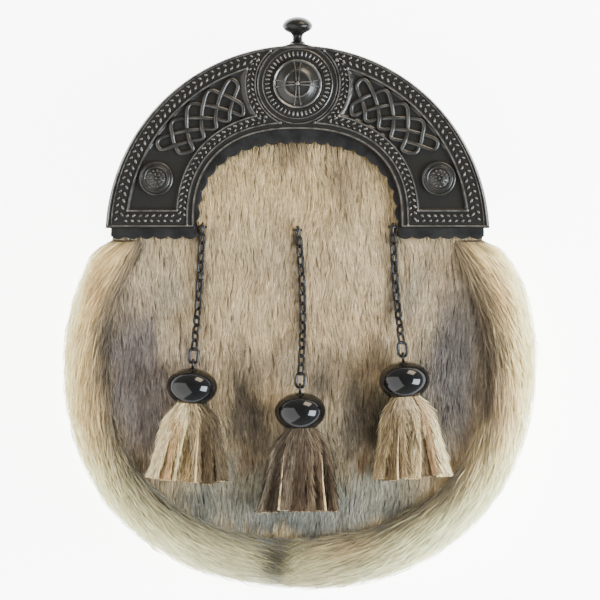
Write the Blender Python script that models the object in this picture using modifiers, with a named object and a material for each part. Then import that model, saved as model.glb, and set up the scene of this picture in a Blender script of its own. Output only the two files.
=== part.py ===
"""Full-dress sporran: a fur-fronted leather pouch with a cast half-round cantle and three chained tassels.

It lies on its back. +Y runs up the pouch to the knob, +Z out of its front, and the origin is the middle of
its footprint on the surface that it lies on. All sizes are in metres.
"""

import math

import bmesh
import bpy
from mathutils import Matrix, Vector

MM = 0.001
GAP = 0.3 * MM  # running gap between touching pieces
LEATHER = 2.0 * MM

# Levels above the surface, back to front
BACK_FACE = 7.0 * MM  # outer face of the back panel, held clear by the strap loops
BACK_INSIDE = BACK_FACE + LEATHER
POUCH_DEPTH = 28.0 * MM  # clear depth inside
HIDE = 3.0 * MM  # skin with its short pile
FRONT_INSIDE = BACK_INSIDE + POUCH_DEPTH
FRONT_FACE = FRONT_INSIDE + HIDE
BACKING_BACK = FRONT_FACE + GAP
BACKING_FRONT = BACKING_BACK + LEATHER
CANTLE_BACK = BACKING_FRONT + GAP

# Pouch outline: a half circle on top, a squared half oval below, joined by two nearly straight sides
TOP_RADIUS = 80.0 * MM
TOP_CENTRE_Y = 26.8 * MM
WAIST_HALF_WIDTH = 82.4 * MM
WAIST_Y = -28.3 * MM
BOTTOM_DROP = 75.2 * MM  # seam at the bottom, below the waist
BOTTOM_EXPONENT = 2.3
BULGE = 3.5 * MM  # how far the full pouch swells the front
BULGE_CENTRE_Y = -38.0 * MM
BULGE_REACH = (80.0 * MM, 64.0 * MM)

# Fur that stands round the sides and the bottom
FUR_HALF_WIDTH = 99.4 * MM
FUR_DROP = 94.1 * MM
FUR_POWER = 2.2  # below the waist, a little fuller than an ellipse
FUR_RISE = 102.8 * MM
FUR_TOP_Y = 26.0 * MM  # where it ends, below the scallops under the legs of the cantle
FUR_EDGE_RISE = 89.4 * MM  # height of the oval along which the fur meets the hide, above the waist

# Cantle
CANTLE_RADIUS = 83.0 * MM
LEG_BOTTOM_Y = 31.0 * MM
ARCH_HALF_WIDTH = 44.5 * MM
ARCH_HEIGHT = 39.3 * MM
ARCH_CENTRE_Y = 34.1 * MM
ARCH_POWER = 2.4  # 2 would be an ellipse; more makes the shoulders fuller
FLANGE_DEPTH = 8.0 * MM
MEDALLION_Y = 93.1 * MM
MEDALLION_RADIUS = 16.5 * MM
BOSS_AT = (60.9 * MM, 52.3 * MM)
BOSS_RADIUS = 7.0 * MM

# Scalloped leather under the cantle
SCALLOP_HALF_WIDTH = 43.4 * MM
SCALLOP_HEIGHT = 34.6 * MM
SCALLOP_PITCH = 6.2 * MM
SCALLOP_DEPTH = 1.3 * MM
BACKING_BOTTOM_Y = 27.6 * MM

# Chains and tassels
WIRE = 0.58 * MM  # radius
LINK_PITCH = 4.1 * MM
LINK_HALF_WIDTH = 1.5 * MM  # of its wire's centreline
WELD = 0.52 * MM  # how far the wires of two links sink into each other
BIG_WIRE = 0.65 * MM
BIG_LINK = (3.2 * MM, 1.85 * MM)  # half length and half width
STAPLE_RADIUS = 1.45 * MM
STAPLE_HEIGHT = 2.7 * MM  # crown's centreline over the hide
BELL_RADIUS = 11.0 * MM
BELL_HALF_HEIGHT = 8.0 * MM
BELL_MOUTH = 7.2 * MM  # from the bell's middle down to its lip
EYE_RADIUS = 1.9 * MM
TASSEL_LENGTH = 34.6 * MM  # usual length, from the bell's lip

# Columns: name, staple x and y, sideways sag of the chain at its middle, bell x and y, x of the tassel's
# bottom, length of the tassel
TASSELS = (
    ("left", -41.0 * MM, 31.5 * MM, 0.3 * MM, -45.2 * MM, -37.0 * MM, -47.9 * MM, 33.4 * MM),
    ("centre", 0.2 * MM, 30.2 * MM, 1.6 * MM, 1.2 * MM, -47.5 * MM, -0.6 * MM, 35.8 * MM),
    ("right", 41.0 * MM, 31.5 * MM, -0.6 * MM, 45.8 * MM, -34.2 * MM, 49.2 * MM, 34.4 * MM),
)


# ---------------------------------------------------------------- helpers


def clear_scene():
    for obj in list(bpy.data.objects):
        bpy.data.objects.remove(obj)


def collection(name):
    made = bpy.data.collections.new(name)
    bpy.context.scene.collection.children.link(made)
    return made


def material(name, colour, roughness, metallic=0.0):
    made = bpy.data.materials.new(name)
    made.use_nodes = True
    shader = made.node_tree.nodes["Principled BSDF"]
    shader.inputs["Base Color"].default_value = (*colour, 1.0)
    shader.inputs["Roughness"].default_value = roughness
    shader.inputs["Metallic"].default_value = metallic
    return made


def place(obj, finish):
    """Puts a finished piece in the model."""
    MODEL.objects.link(obj)
    if not obj.data.materials:
        obj.data.materials.append(finish)
    return obj


def object_from(name, bm):
    mesh = bpy.data.meshes.new(name)
    bm.to_mesh(mesh)
    bm.free()
    mesh.shade_smooth()
    mesh.set_sharp_from_angle(angle=math.radians(35))
    return bpy.data.objects.new(name, mesh)


def loft(name, sections):
    """A closed solid through rings of the same number of points, with flat ends."""
    bm = bmesh.new()
    rings = [[bm.verts.new(point) for point in section] for section in sections]
    count = len(rings[0])
    for ring, following in zip(rings, rings[1:]):
        for k in range(count):
            after = (k + 1) % count
            bm.faces.new((ring[k], ring[after], following[after], following[k]))
    bm.faces.new(rings[0])
    bm.faces.new(rings[-1])
    bmesh.ops.recalc_face_normals(bm, faces=bm.faces)
    return object_from(name, bm)


def flat_plate(name, outlines, low, thickness):
    """A plate cut to closed outlines of (x, y) points. An outline inside another is a hole."""
    curve = bpy.data.curves.new(name, "CURVE")
    curve.dimensions = "2D"
    curve.fill_mode = "BOTH"
    curve.extrude = thickness / 2
    for outline in outlines:
        spline = curve.splines.new("POLY")
        spline.points.add(len(outline) - 1)
        spline.use_cyclic_u = True
        for point, (x, y) in zip(spline.points, outline):
            point.co = (x, y, 0, 1)
    obj = bpy.data.objects.new(name, curve)
    obj.location.z = low + thickness / 2
    return obj


def turned(name, profile, steps):
    """A solid turned about its own Z axis, from (radius, height) points listed from top to bottom."""
    mesh = bpy.data.meshes.new(name)
    points = [(radius, 0, height) for radius, height in profile]
    mesh.from_pydata(points, [(k, k + 1) for k in range(len(points) - 1)], [])
    obj = bpy.data.objects.new(name, mesh)
    screw = obj.modifiers.new("Turn", "SCREW")
    screw.steps = steps
    screw.render_steps = steps
    screw.use_merge_vertices = True
    screw.merge_threshold = 0.01 * MM
    return obj


def wire_loop(name, centreline, radius, cyclic=True):
    """A mesh of square-sided wire bent along a route, closed or with flat ends."""
    curve = bpy.data.curves.new(name, "CURVE")
    curve.dimensions = "3D"
    curve.bevel_depth = radius
    curve.bevel_resolution = 0
    curve.use_fill_caps = True
    spline = curve.splines.new("POLY")
    spline.points.add(len(centreline) - 1)
    spline.use_cyclic_u = cyclic
    for point, place_at in zip(spline.points, centreline):
        point.co = (*place_at, 1)
    drawn = bpy.data.objects.new(name, curve)
    bpy.context.scene.collection.objects.link(drawn)
    graph = bpy.context.evaluated_depsgraph_get()
    mesh = bpy.data.meshes.new_from_object(drawn.evaluated_get(graph))
    bpy.data.objects.remove(drawn)
    bm = bmesh.new()
    bm.from_mesh(mesh)
    bmesh.ops.remove_doubles(bm, verts=bm.verts, dist=0.001 * MM)
    bmesh.ops.recalc_face_normals(bm, faces=bm.faces)
    bm.to_mesh(mesh)
    bm.free()
    return bpy.data.objects.new(name, mesh)


def join(obj, others, name):
    """Unites obj with the other solids, which stay as hidden helpers."""
    group = bpy.data.collections.new(name)
    CUTTERS.children.link(group)
    for other in others:
        group.objects.link(other)
        other.hide_render = True
        other.display_type = "WIRE"
    boolean = obj.modifiers.new("Join", "BOOLEAN")
    boolean.operation = "UNION"
    boolean.solver = "EXACT"
    boolean.operand_type = "COLLECTION"
    boolean.collection = group
    return obj


def blend(low, high, share):
    return low + (high - low) * share


def smooth_step(share):
    share = min(max(share, 0.0), 1.0)
    return share * share * (3 - 2 * share)


# ---------------------------------------------------------------- the pouch's outline


def lower_point(angle):
    """The seam below the waist. Angle 0 is the right side and 90 degrees the bottom."""
    power = 2 / BOTTOM_EXPONENT
    x = WAIST_HALF_WIDTH * abs(math.cos(angle)) ** power
    y = WAIST_Y - BOTTOM_DROP * math.sin(angle) ** power
    return Vector((x, y))


def side_x(y):
    """Half width of the pouch between the waist and the cantle."""
    share = smooth_step((y - WAIST_Y) / (TOP_CENTRE_Y - WAIST_Y))
    return blend(WAIST_HALF_WIDTH, TOP_RADIUS, share)


def right_seam(steps_side, steps_below):
    """Right half's seam, from the end of the fur under the cantle down to the middle of the bottom."""
    points = []
    for k in range(steps_side):
        y = blend(FUR_TOP_Y, WAIST_Y, k / steps_side)
        points.append(Vector((side_x(y), y)))
    for k in range(steps_below + 1):
        points.append(lower_point(math.pi / 2 * k / steps_below))
    points[-1].x = 0.0
    return points


def pouch_outline(top_steps=22, inset=0.0):
    """The whole closed outline, anticlockwise from the right end of the top half circle."""
    radius = TOP_RADIUS - inset
    top = [
        Vector((radius * math.cos(a), TOP_CENTRE_Y + radius * math.sin(a)))
        for a in (math.pi * k / top_steps for k in range(top_steps + 1))
    ]
    right = [point for point in right_seam(6, 14) if point.y < TOP_CENTRE_Y - MM]
    left = [Vector((-point.x, point.y)) for point in right[:-1]]
    return top + left + right[::-1]


def front_level(x, y):
    """Height of the hide's outer face, which swells below the cantle."""
    across, along = BULGE_REACH
    reach = math.hypot(x / across, (y - BULGE_CENTRE_Y) / along)
    return FRONT_FACE + BULGE * smooth_step(1 - reach)


# ---------------------------------------------------------------- the bag


def front_panel():
    """Hide panel with its short pile: an open domed sheet given its thickness."""
    outline = pouch_outline()
    centre = Vector((0, -10 * MM))
    bm = bmesh.new()
    middle = bm.verts.new((*centre, front_level(*centre)))
    rings = []
    for share in (0.25, 0.5, 0.75, 1.0):
        ring = []
        for point in outline:
            at = centre.lerp(point, share)
            ring.append(bm.verts.new((*at, front_level(*at))))
        rings.append(ring)
    count = len(outline)
    for k in range(count):
        bm.faces.new((middle, rings[0][k], rings[0][(k + 1) % count]))
        for ring, outer in zip(rings, rings[1:]):
            after = (k + 1) % count
            bm.faces.new((ring[k], outer[k], outer[after], ring[after]))
    sheet = object_from("front_panel", bm)
    solidify = sheet.modifiers.new("Thickness", "SOLIDIFY")
    solidify.thickness = HIDE
    solidify.offset = -1
    place(sheet, HIDE_FINISH)


def rounded_box(half_width, low, high, radius, steps=5):
    """Outline of a rectangle with rounded corners."""
    corners = (
        (half_width - radius, high - radius, 0),
        (radius - half_width, high - radius, 90),
        (radius - half_width, low + radius, 180),
        (half_width - radius, low + radius, 270),
    )
    points = []
    for x, y, start in corners:
        for k in range(steps + 1):
            angle = math.radians(start + 90 * k / steps)
            points.append((x + radius * math.cos(angle), y + radius * math.sin(angle)))
    return points


MOUTH = {"half_width": 36 * MM, "low": 22 * MM, "high": 76 * MM, "radius": 10 * MM}
FLAP = {"half_width": 45 * MM, "low": 8 * MM, "high": 88 * MM, "radius": 13 * MM}
STUD_Y = 15 * MM
STUD_HEIGHT = 1.6 * MM


def back_panel():
    """Leather back, with the mouth of the pouch cut in it behind the cantle."""
    outlines = (pouch_outline(), rounded_box(**MOUTH))
    place(flat_plate("back_panel", outlines, BACK_FACE, LEATHER), LEATHER_FINISH)


def back_flap():
    """Leather flap that shuts the mouth, and the stud that holds its free end."""
    low = BACK_FACE - GAP - LEATHER
    place(flat_plate("back_flap", (rounded_box(**FLAP),), low, LEATHER), LEATHER_FINISH)
    top = low - GAP
    profile = (
        (0, top),
        (4.6 * MM, top),
        (5.0 * MM, top - 0.5 * MM),
        (3.6 * MM, top - 1.3 * MM),
        (0, top - STUD_HEIGHT),
    )
    stud = turned("flap_stud", profile, 16)
    stud.location.y = STUD_Y
    place(stud, METAL_FINISH)


LOOP_LEATHER = 1.8 * MM
LOOP_WIDTH = 12 * MM
LOOP_AT = (60 * MM, 48 * MM)
LOOP_SLOT = 22 * MM  # clear length for the strap
LOOP_FOOT = 8 * MM


def strap_loop(name, x):
    """Bridge of leather on the back that a waist strap passes through, drawn from the side and extruded."""
    lift = BACK_FACE - GAP
    inside, outside = LOOP_SLOT / 2, LOOP_SLOT / 2 + LOOP_LEATHER
    end = outside + LOOP_FOOT
    half = (
        (inside - 1.5 * MM, LOOP_LEATHER),
        (inside, LOOP_LEATHER + 1.5 * MM),
        (inside, lift),
        (end, lift),
        (end, lift - LOOP_LEATHER),
        (outside, lift - LOOP_LEATHER),
        (outside, 2.2 * MM),
        (outside - 2.2 * MM, 0),
    )
    profile = list(half) + [(-along, height) for along, height in half[::-1]]
    bridge = flat_plate(name, (profile,), -LOOP_WIDTH / 2, LOOP_WIDTH)
    # The drawing's x runs up the pouch, its y away from the surface, and its thickness across the pouch.
    bridge.matrix_world = Matrix.Translation((x, LOOP_AT[1], 0)) @ Matrix(
        ((0, 0, 1, 0), (1, 0, 0, 0), (0, 1, 0, 0), (0, 0, 0, 1))
    )
    place(bridge, LEATHER_FINISH)


def top_gusset():
    """Leather wall that joins front and back round the top, behind the cantle."""
    steps = 28
    low, high = BACK_INSIDE + GAP, FRONT_INSIDE - GAP
    reach = math.asin((FUR_TOP_Y + GAP - TOP_CENTRE_Y) / TOP_RADIUS)
    angles = [blend(reach, math.pi - reach, k / steps) for k in range(steps + 1)]

    def arc(radius):
        return [(radius * math.cos(a), TOP_CENTRE_Y + radius * math.sin(a)) for a in angles]

    outer = TOP_RADIUS - 0.5 * MM
    outline = arc(outer) + arc(outer - LEATHER)[::-1]
    place(flat_plate("top_gusset", (outline,), low, high - low), LEATHER_FINISH)


# ---------------------------------------------------------------- the fur round the pouch


def oval_half_width(y, half_width, rise):
    """Half width, above the waist, of an oval that is widest there."""
    return half_width * math.sqrt(max(1 - ((y - WAIST_Y) / rise) ** 2, 0.0))


def fur_outline_point(point, outward):
    """How far the fur stands out from a point of the seam, along the outward normal."""
    reach = 0.0
    for _ in range(8):  # walks out to the oval of the fur's outline
        at = point + outward * reach
        rise, power = (FUR_RISE, 2) if at.y > WAIST_Y else (FUR_DROP, FUR_POWER)
        sum_of_powers = (abs(at.x) / FUR_HALF_WIDTH) ** power + (abs(at.y - WAIST_Y) / rise) ** power
        reach += (1 - sum_of_powers ** (1 / power)) * FUR_HALF_WIDTH
    return reach


def fur_section(point, outward):
    """Section of the fur wall: leather inside, pile outside, wrapped round the edges of front and back."""
    stand = fur_outline_point(point, outward)
    overlap = 1.2 * MM
    if point.y > WAIST_Y:  # near the cantle it also falls over the hide
        edge = oval_half_width(point.y, WAIST_HALF_WIDTH, FUR_EDGE_RISE)
        overlap += max(point.x - edge, 0.0)
    lip = front_level(point.x, point.y) + GAP
    wall, low, high = -LEATHER, BACK_INSIDE + GAP, FRONT_INSIDE - GAP
    fullness = smooth_step(stand / (12 * MM))
    crest = lip + 1.0 * MM + 5.6 * MM * fullness
    rest = BACK_FACE * (1 - fullness)  # the full fur is flattened where it lies on the surface
    profile = (
        (wall, low),
        (wall, high),
        (GAP, high),
        (GAP, lip),
        (-overlap, lip),
        (-overlap * 0.8, blend(lip, crest, 0.45)),
        (blend(-overlap, stand, 0.22), blend(lip, crest, 0.88)),
        (blend(-overlap, stand, 0.45), crest),
        (stand * 0.72, blend(high, crest, 0.7)),
        (stand * 0.93, FRONT_INSIDE - 4 * MM),
        (stand, 22 * MM),
        (stand * 0.94, blend(rest, 22 * MM, 0.45)),
        (stand * 0.76, blend(rest, 22 * MM, 0.12)),
        (stand * 0.56, rest),
        (stand * 0.2 + GAP, rest),
        (GAP, blend(rest, low, 0.3)),
        (GAP, low),
    )
    return [(*(point + outward * along), height) for along, height in profile]


def fur_gusset(name, side):
    """Half of the fur wall, from under one leg of the cantle to the seam at the bottom."""
    seam = right_seam(9, 20)
    sections = []
    for k, point in enumerate(seam):
        before, after = seam[max(k - 1, 0)], seam[min(k + 1, len(seam) - 1)]
        along = (after - before).normalized()
        outward = Vector((-along.y, along.x))
        if k == 0:
            outward = Vector((1, 0))
        at = point.copy()
        if k == len(seam) - 1:
            outward = Vector((0, -1))
            at.x = GAP / 2
        sections.append([(side * x, y, z) for x, y, z in fur_section(at, outward)])
    place(loft(name, sections), FUR_FINISH)


# ---------------------------------------------------------------- the cantle

# Columns: edge that the distance is taken from, distance, height above the back of the plate
CANTLE_SECTION = (
    ("arch", 0.0, 0.0),
    ("arch", 0.0, 2.2 * MM),
    ("arch", 0.8 * MM, 3.2 * MM),
    ("arch", 1.6 * MM, 2.4 * MM),
    ("arch", 7.0 * MM, 2.4 * MM),
    ("arch", 7.8 * MM, 3.2 * MM),
    ("arch", 8.6 * MM, 1.6 * MM),
    ("rim", 9.9 * MM, 1.6 * MM),
    ("rim", 9.1 * MM, 3.2 * MM),
    ("rim", 8.3 * MM, 2.4 * MM),
    ("rim", 3.4 * MM, 2.4 * MM),
    ("rim", 2.6 * MM, 3.2 * MM),
    ("rim", 1.4 * MM, 2.4 * MM),
    ("rim", 0.0, 1.2 * MM),
    ("rim", 0.0, -FLANGE_DEPTH),
    ("rim", 2.0 * MM, -FLANGE_DEPTH),
    ("rim", 2.0 * MM, 0.0),
)


def arch_oval(half_width, height, direction):
    """Point in a direction from the arch's centre, on an oval with fuller shoulders than an ellipse."""
    along, up = math.cos(direction), math.sin(direction)
    sum_of_powers = (abs(along) / half_width) ** ARCH_POWER + (abs(up) / height) ** ARCH_POWER
    reach = sum_of_powers ** (-1 / ARCH_POWER)
    return Vector((reach * along, ARCH_CENTRE_Y + reach * up))


def cantle_rib(share):
    """Points on the arch and on the rim that face each other, share 0 at the right leg and 1 at the left."""
    low_rim = math.asin((LEG_BOTTOM_Y - TOP_CENTRE_Y) / CANTLE_RADIUS)
    drop = ARCH_CENTRE_Y - LEG_BOTTOM_Y
    foot_x = ARCH_HALF_WIDTH * (1 - (drop / ARCH_HEIGHT) ** ARCH_POWER) ** (1 / ARCH_POWER)
    low_arch = -math.atan2(drop, foot_x)
    rim = blend(low_rim, math.pi - low_rim, share)
    arch = blend(low_arch, math.pi - low_arch, share)
    on_rim = Vector((CANTLE_RADIUS * math.cos(rim), TOP_CENTRE_Y + CANTLE_RADIUS * math.sin(rim)))
    return arch_oval(ARCH_HALF_WIDTH, ARCH_HEIGHT, arch), on_rim


def dome(name, x, y, radius, low, height):
    """Turned boss: a drum with a domed top."""
    profile = (
        (0, height),
        (radius * 0.35, height * 0.94),
        (radius * 0.68, height * 0.72),
        (radius * 0.9, height * 0.42),
        (radius, 0.15 * height),
        (radius, low),
        (0, low),
    )
    boss = turned(name, profile, 24)
    boss.location = (x, y, CANTLE_BACK)
    return boss


def cantle():
    """Cast half-round mount: a ribbed plate with a turned-back flange, a medallion and two bosses."""
    steps = 42
    sections = []
    for k in range(steps + 1):
        on_arch, on_rim = cantle_rib(k / steps)
        across = (on_rim - on_arch).normalized()
        ring = []
        for edge, distance, height in CANTLE_SECTION:
            flat = on_arch + across * distance if edge == "arch" else on_rim - across * distance
            ring.append((*flat, CANTLE_BACK + height))
        sections.append(ring)
    plate = loft("cantle", sections)
    floor = 0.6 * MM
    drum = dome("medallion", 0, MEDALLION_Y, MEDALLION_RADIUS, floor, 3.5 * MM)
    centre = dome("medallion_boss", 0, MEDALLION_Y, 9.4 * MM, floor + 0.5 * MM, 6.0 * MM)
    bosses = [
        dome(f"boss_{side}", side * BOSS_AT[0], BOSS_AT[1], BOSS_RADIUS, floor, 5.0 * MM)
        for side in (-1, 1)
    ]
    place(join(plate, [drum, centre, *bosses], "cantle_reliefs"), METAL_FINISH)


def knob():
    """Turned mushroom finial on top of the rim."""
    profile = (
        (0, 12.3 * MM),
        (3.2 * MM, 11.9 * MM),
        (5.5 * MM, 10.5 * MM),
        (6.6 * MM, 8.6 * MM),
        (6.1 * MM, 6.9 * MM),
        (4.4 * MM, 5.6 * MM),
        (2.5 * MM, 4.7 * MM),
        (2.1 * MM, 3.0 * MM),
        (2.4 * MM, 1.3 * MM),
        (3.7 * MM, 0.3 * MM),
        (3.7 * MM, 0),
        (0, 0),
    )
    finial = turned("knob", profile, 20)
    middle = CANTLE_BACK - FLANGE_DEPTH / 2 + 0.6 * MM
    finial.matrix_world = Matrix.Translation(
        (0, TOP_CENTRE_Y + CANTLE_RADIUS + GAP, middle)
    ) @ Matrix.Rotation(-math.pi / 2, 4, "X")
    place(finial, METAL_FINISH)


def scalloped(points, inward, turns, steps=4):
    """A route, given as a function of a share from 0 to 1, with half-round scallops standing out of it."""
    made = []
    for k in range(turns * steps + 1):
        share = k / (turns * steps)
        lobe = abs(math.sin(math.pi * turns * share))
        made.append(points(share) + inward(share) * SCALLOP_DEPTH * lobe)
    return made


def cantle_backing():
    """Black leather under the cantle, pinked where it shows inside the arch and below the legs."""
    outer = CANTLE_RADIUS - 2.0 * MM - GAP
    low = math.asin((BACKING_BOTTOM_Y - TOP_CENTRE_Y) / outer)
    rim = [
        Vector((outer * math.cos(a), TOP_CENTRE_Y + outer * math.sin(a)))
        for a in (blend(low, math.pi - low, k / 32) for k in range(33))
    ]
    leg_width = rim[0].x - SCALLOP_HALF_WIDTH
    leg_turns = round(leg_width / SCALLOP_PITCH)
    mean_radius = (SCALLOP_HALF_WIDTH + SCALLOP_HEIGHT) / 2 * 1.04
    arch_turns = round(math.pi * mean_radius / SCALLOP_PITCH)

    def along_arch(share):
        return arch_oval(SCALLOP_HALF_WIDTH, SCALLOP_HEIGHT, math.pi * share)

    def into_arch(share):
        return -Vector((math.cos(math.pi * share), math.sin(math.pi * share)))

    def along_leg(share):
        return Vector((blend(rim[0].x, SCALLOP_HALF_WIDTH, share), BACKING_BOTTOM_Y))

    def below(_share):
        return Vector((0, -1))

    arch = scalloped(along_arch, into_arch, arch_turns)
    leg = scalloped(along_leg, below, leg_turns)[1:-1]
    other_leg = [Vector((-point.x, point.y)) for point in leg]
    corner = Vector((SCALLOP_HALF_WIDTH, BACKING_BOTTOM_Y))
    far_corner = Vector((-corner.x, corner.y))
    outline = rim + other_leg + [far_corner] + arch[::-1] + [corner] + leg[::-1]
    place(flat_plate("cantle_backing", (outline,), BACKING_BACK, LEATHER), LEATHER_FINISH)


# ---------------------------------------------------------------- chains and tassels


def oval(half_length, half_width):
    """Centreline of a chain link in its own plane: two blunt half circles and two straights."""
    blunt = half_width * math.cos(math.radians(30))
    points = []
    for end, start in ((1, -90), (-1, 90)):
        for k in range(4):
            angle = math.radians(start + 60 * k)
            along = end * (half_length - blunt) + half_width * math.cos(angle)
            points.append((along, half_width * math.sin(angle)))
    return points


def placed_link(name, size, wire, at, along, roll):
    """A link whose long side follows along, flat on the front at roll 0 and on its side at 90 degrees."""
    along = along.normalized()
    flat = Vector((0, 0, 1)).cross(along).normalized()
    across = flat * math.cos(roll) + along.cross(flat) * math.sin(roll)
    route = [at + along * a + across * b for a, b in oval(*size)]
    return wire_loop(name, route, wire)


def bell_level(x, y):
    """Height of a bell's axis when it lies on the front."""
    return front_level(x, y) + GAP + BELL_RADIUS


def staple(name, x, y):
    """Wire staple in the hide that the first link hangs on. Returns the middle of its crown."""
    foot = front_level(x, y) + GAP
    bend = foot + STAPLE_HEIGHT - STAPLE_RADIUS
    arch = [
        (x + STAPLE_RADIUS * math.cos(a), y, bend + STAPLE_RADIUS * math.sin(a))
        for a in (math.pi * k / 6 for k in range(7))
    ]
    route = [(x + STAPLE_RADIUS, y, foot), *arch, (x - STAPLE_RADIUS, y, foot)]
    place(wire_loop(name, route, WIRE, cyclic=False), METAL_FINISH)
    return Vector((x, y, foot + STAPLE_HEIGHT))


def chain(name, crown, eye, sag):
    """Chain of welded links from the staple's crown to the eye of the bell, as one solid."""
    rest = LINK_HALF_WIDTH * math.sin(math.pi / 4) + WIRE + GAP

    def route(share):
        at = crown.lerp(eye, share)
        at.x += sag * math.sin(math.pi * share)
        lying = front_level(at.x, at.y) + rest
        at.z = blend(lying, eye.z, smooth_step((share - 0.6) / 0.34))
        if share < 0.1:
            at.z = blend(crown.z, lying, share / 0.1)
        return at

    steps = 2000
    fine = [route(k / steps) for k in range(steps + 1)]
    lengths = [0.0]
    for before, after in zip(fine, fine[1:]):
        lengths.append(lengths[-1] + (after - before).length)

    def at_length(length):
        k = next(k for k, reached in enumerate(lengths) if reached >= length)
        return fine[k], fine[k + 1] - fine[k - 1]

    end_hook = BIG_LINK[0] - BIG_WIRE - WIRE - GAP  # from the end link's middle to the bell's eye
    run = lengths[-1] - 2 * end_hook
    count = round(run / LINK_PITCH)
    pitch = run / count
    size = (pitch / 2 + WIRE - WELD / 2, LINK_HALF_WIDTH)
    hook = size[0] - 2 * WIRE - GAP  # from the staple to the first link's middle
    links = []
    for k in range(count):
        at, along = at_length(hook + k * pitch)
        roll = math.radians(90 if k == 0 else 45 if k % 2 else -45)
        links.append(placed_link(f"{name}_{k}", size, WIRE, at, along, roll))
    at, along = at_length(lengths[-1] - end_hook)
    links.append(placed_link(f"{name}_big", BIG_LINK, BIG_WIRE, at, along, 0))
    first = links[0]
    first.name = name
    place(join(first, links[1:], name + "_links"), METAL_FINISH)


def bell(name, x, y, lean):
    """Black onion-shaped cup, open below, with the eye that the chain holds. Returns the eye's place."""
    high, lip = BELL_HALF_HEIGHT, -BELL_MOUTH
    profile = (
        (0, high),
        (0.42 * BELL_RADIUS, 0.92 * high),
        (0.72 * BELL_RADIUS, 0.7 * high),
        (0.92 * BELL_RADIUS, 0.4 * high),
        (BELL_RADIUS, 0.02 * high),
        (0.95 * BELL_RADIUS, -0.35 * high),
        (0.8 * BELL_RADIUS, -0.66 * high),
        (0.62 * BELL_RADIUS, lip),
        (0.5 * BELL_RADIUS, lip),
        (0.68 * BELL_RADIUS, -0.58 * high),
        (0.83 * BELL_RADIUS, -0.2 * high),
        (0.85 * BELL_RADIUS, 0.1 * high),
        (0.66 * BELL_RADIUS, 0.48 * high),
        (0.3 * BELL_RADIUS, 0.72 * high),
        (0, 0.76 * high),
    )
    cup = turned(name, profile, 16)
    centre_of_eye = high + EYE_RADIUS - 0.35 * MM
    ring = [
        (0, EYE_RADIUS * math.cos(a), centre_of_eye + EYE_RADIUS * math.sin(a))
        for a in (2 * math.pi * k / 8 for k in range(8))
    ]
    eye = wire_loop(name + "_eye", ring, WIRE)
    lie = Matrix.Translation((x, y, bell_level(x, y))) @ Matrix.Rotation(lean, 4, "Z")
    lie = lie @ Matrix.Rotation(-math.pi / 2, 4, "X")
    cup.matrix_world = lie
    eye.matrix_world = lie
    place(join(cup, [eye], name + "_join"), BELL_FINISH)
    return lie @ Vector((0, 0, centre_of_eye + EYE_RADIUS))


# Columns: distance below the bell's lip, half width, half height, depth of the flutes
TASSEL_SECTIONS = (
    (-10.5 * MM, 4.0 * MM, 4.0 * MM, 0.0),
    (-7.5 * MM, 4.9 * MM, 4.9 * MM, 0.0),
    (0.2 * MM, 4.9 * MM, 4.9 * MM, 0.0),
    (1.4 * MM, 8.9 * MM, 6.8 * MM, 0.01),
    (4.5 * MM, 11.4 * MM, 7.4 * MM, 0.03),
    (9.5 * MM, 13.3 * MM, 7.6 * MM, 0.06),
    (16.0 * MM, 14.4 * MM, 7.4 * MM, 0.08),
    (26.0 * MM, 15.9 * MM, 6.8 * MM, 0.1),
    (TASSEL_LENGTH, 17.0 * MM, 6.2 * MM, 0.1),
)
TASSEL_FLUTES = 9


def tassel(name, x, y, lean, bottom_x, length):
    """Outer form of a bunch of fur strips that hangs out of its bell and spreads over the front."""
    points = 27
    down = Vector((math.sin(lean), -math.cos(lean), 0))
    across = Vector((-down.y, down.x, 0))
    mouth = Vector((x, y, 0)) + down * BELL_MOUTH
    axis_level = bell_level(x, y)
    drift = bottom_x - (mouth + down * length).x
    sections = []
    for distance, half_width, half_height, flute in TASSEL_SECTIONS:
        share = max(distance / TASSEL_LENGTH, 0.0)
        below = distance * length / TASSEL_LENGTH if distance > 2 * MM else distance
        middle = mouth + down * below + across * (drift * share)
        resting = front_level(middle.x, middle.y) + GAP + half_height * (1 + flute)
        level = blend(axis_level, resting, smooth_step(share * 1.25))
        ring = []
        for k in range(points):
            angle = 2 * math.pi * k / points
            swell = 1 + flute * math.cos(TASSEL_FLUTES * angle)
            at = middle + across * (half_width * swell * math.cos(angle))
            ring.append((at.x, at.y, level + half_height * swell * math.sin(angle)))
        sections.append(ring)
    place(loft(name, sections), TASSEL_FINISH)


def tassels():
    for name, staple_x, staple_y, sag, bell_x, bell_y, bottom_x, length in TASSELS:
        lean = math.atan2(bell_x - staple_x, staple_y - bell_y) * 0.8
        crown = staple(f"staple_{name}", staple_x, staple_y)
        eye = bell(f"bell_{name}", bell_x, bell_y, lean)
        chain(f"chain_{name}", crown, eye, sag)
        tassel(f"tassel_{name}", bell_x, bell_y, lean, bottom_x, length)


# ---------------------------------------------------------------- build

clear_scene()
MODEL = collection("sporran")
CUTTERS = collection("cutters")
METAL_FINISH = material("blackened pewter", (0.05, 0.05, 0.055), 0.35, 1.0)
BELL_FINISH = material("black enamel", (0.012, 0.012, 0.014), 0.12, 0.0)
LEATHER_FINISH = material("black leather", (0.03, 0.03, 0.03), 0.55)
HIDE_FINISH = material("short grey-fawn pile", (0.42, 0.35, 0.26), 0.8)
FUR_FINISH = material("long golden fur", (0.62, 0.53, 0.36), 0.8)
TASSEL_FINISH = material("fur strips", (0.48, 0.4, 0.28), 0.8)

front_panel()
back_panel()
back_flap()
strap_loop("strap_loop_left", -LOOP_AT[0])
strap_loop("strap_loop_right", LOOP_AT[0])
top_gusset()
fur_gusset("fur_gusset_left", -1)
fur_gusset("fur_gusset_right", 1)
cantle()
knob()
cantle_backing()
tassels()
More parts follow.
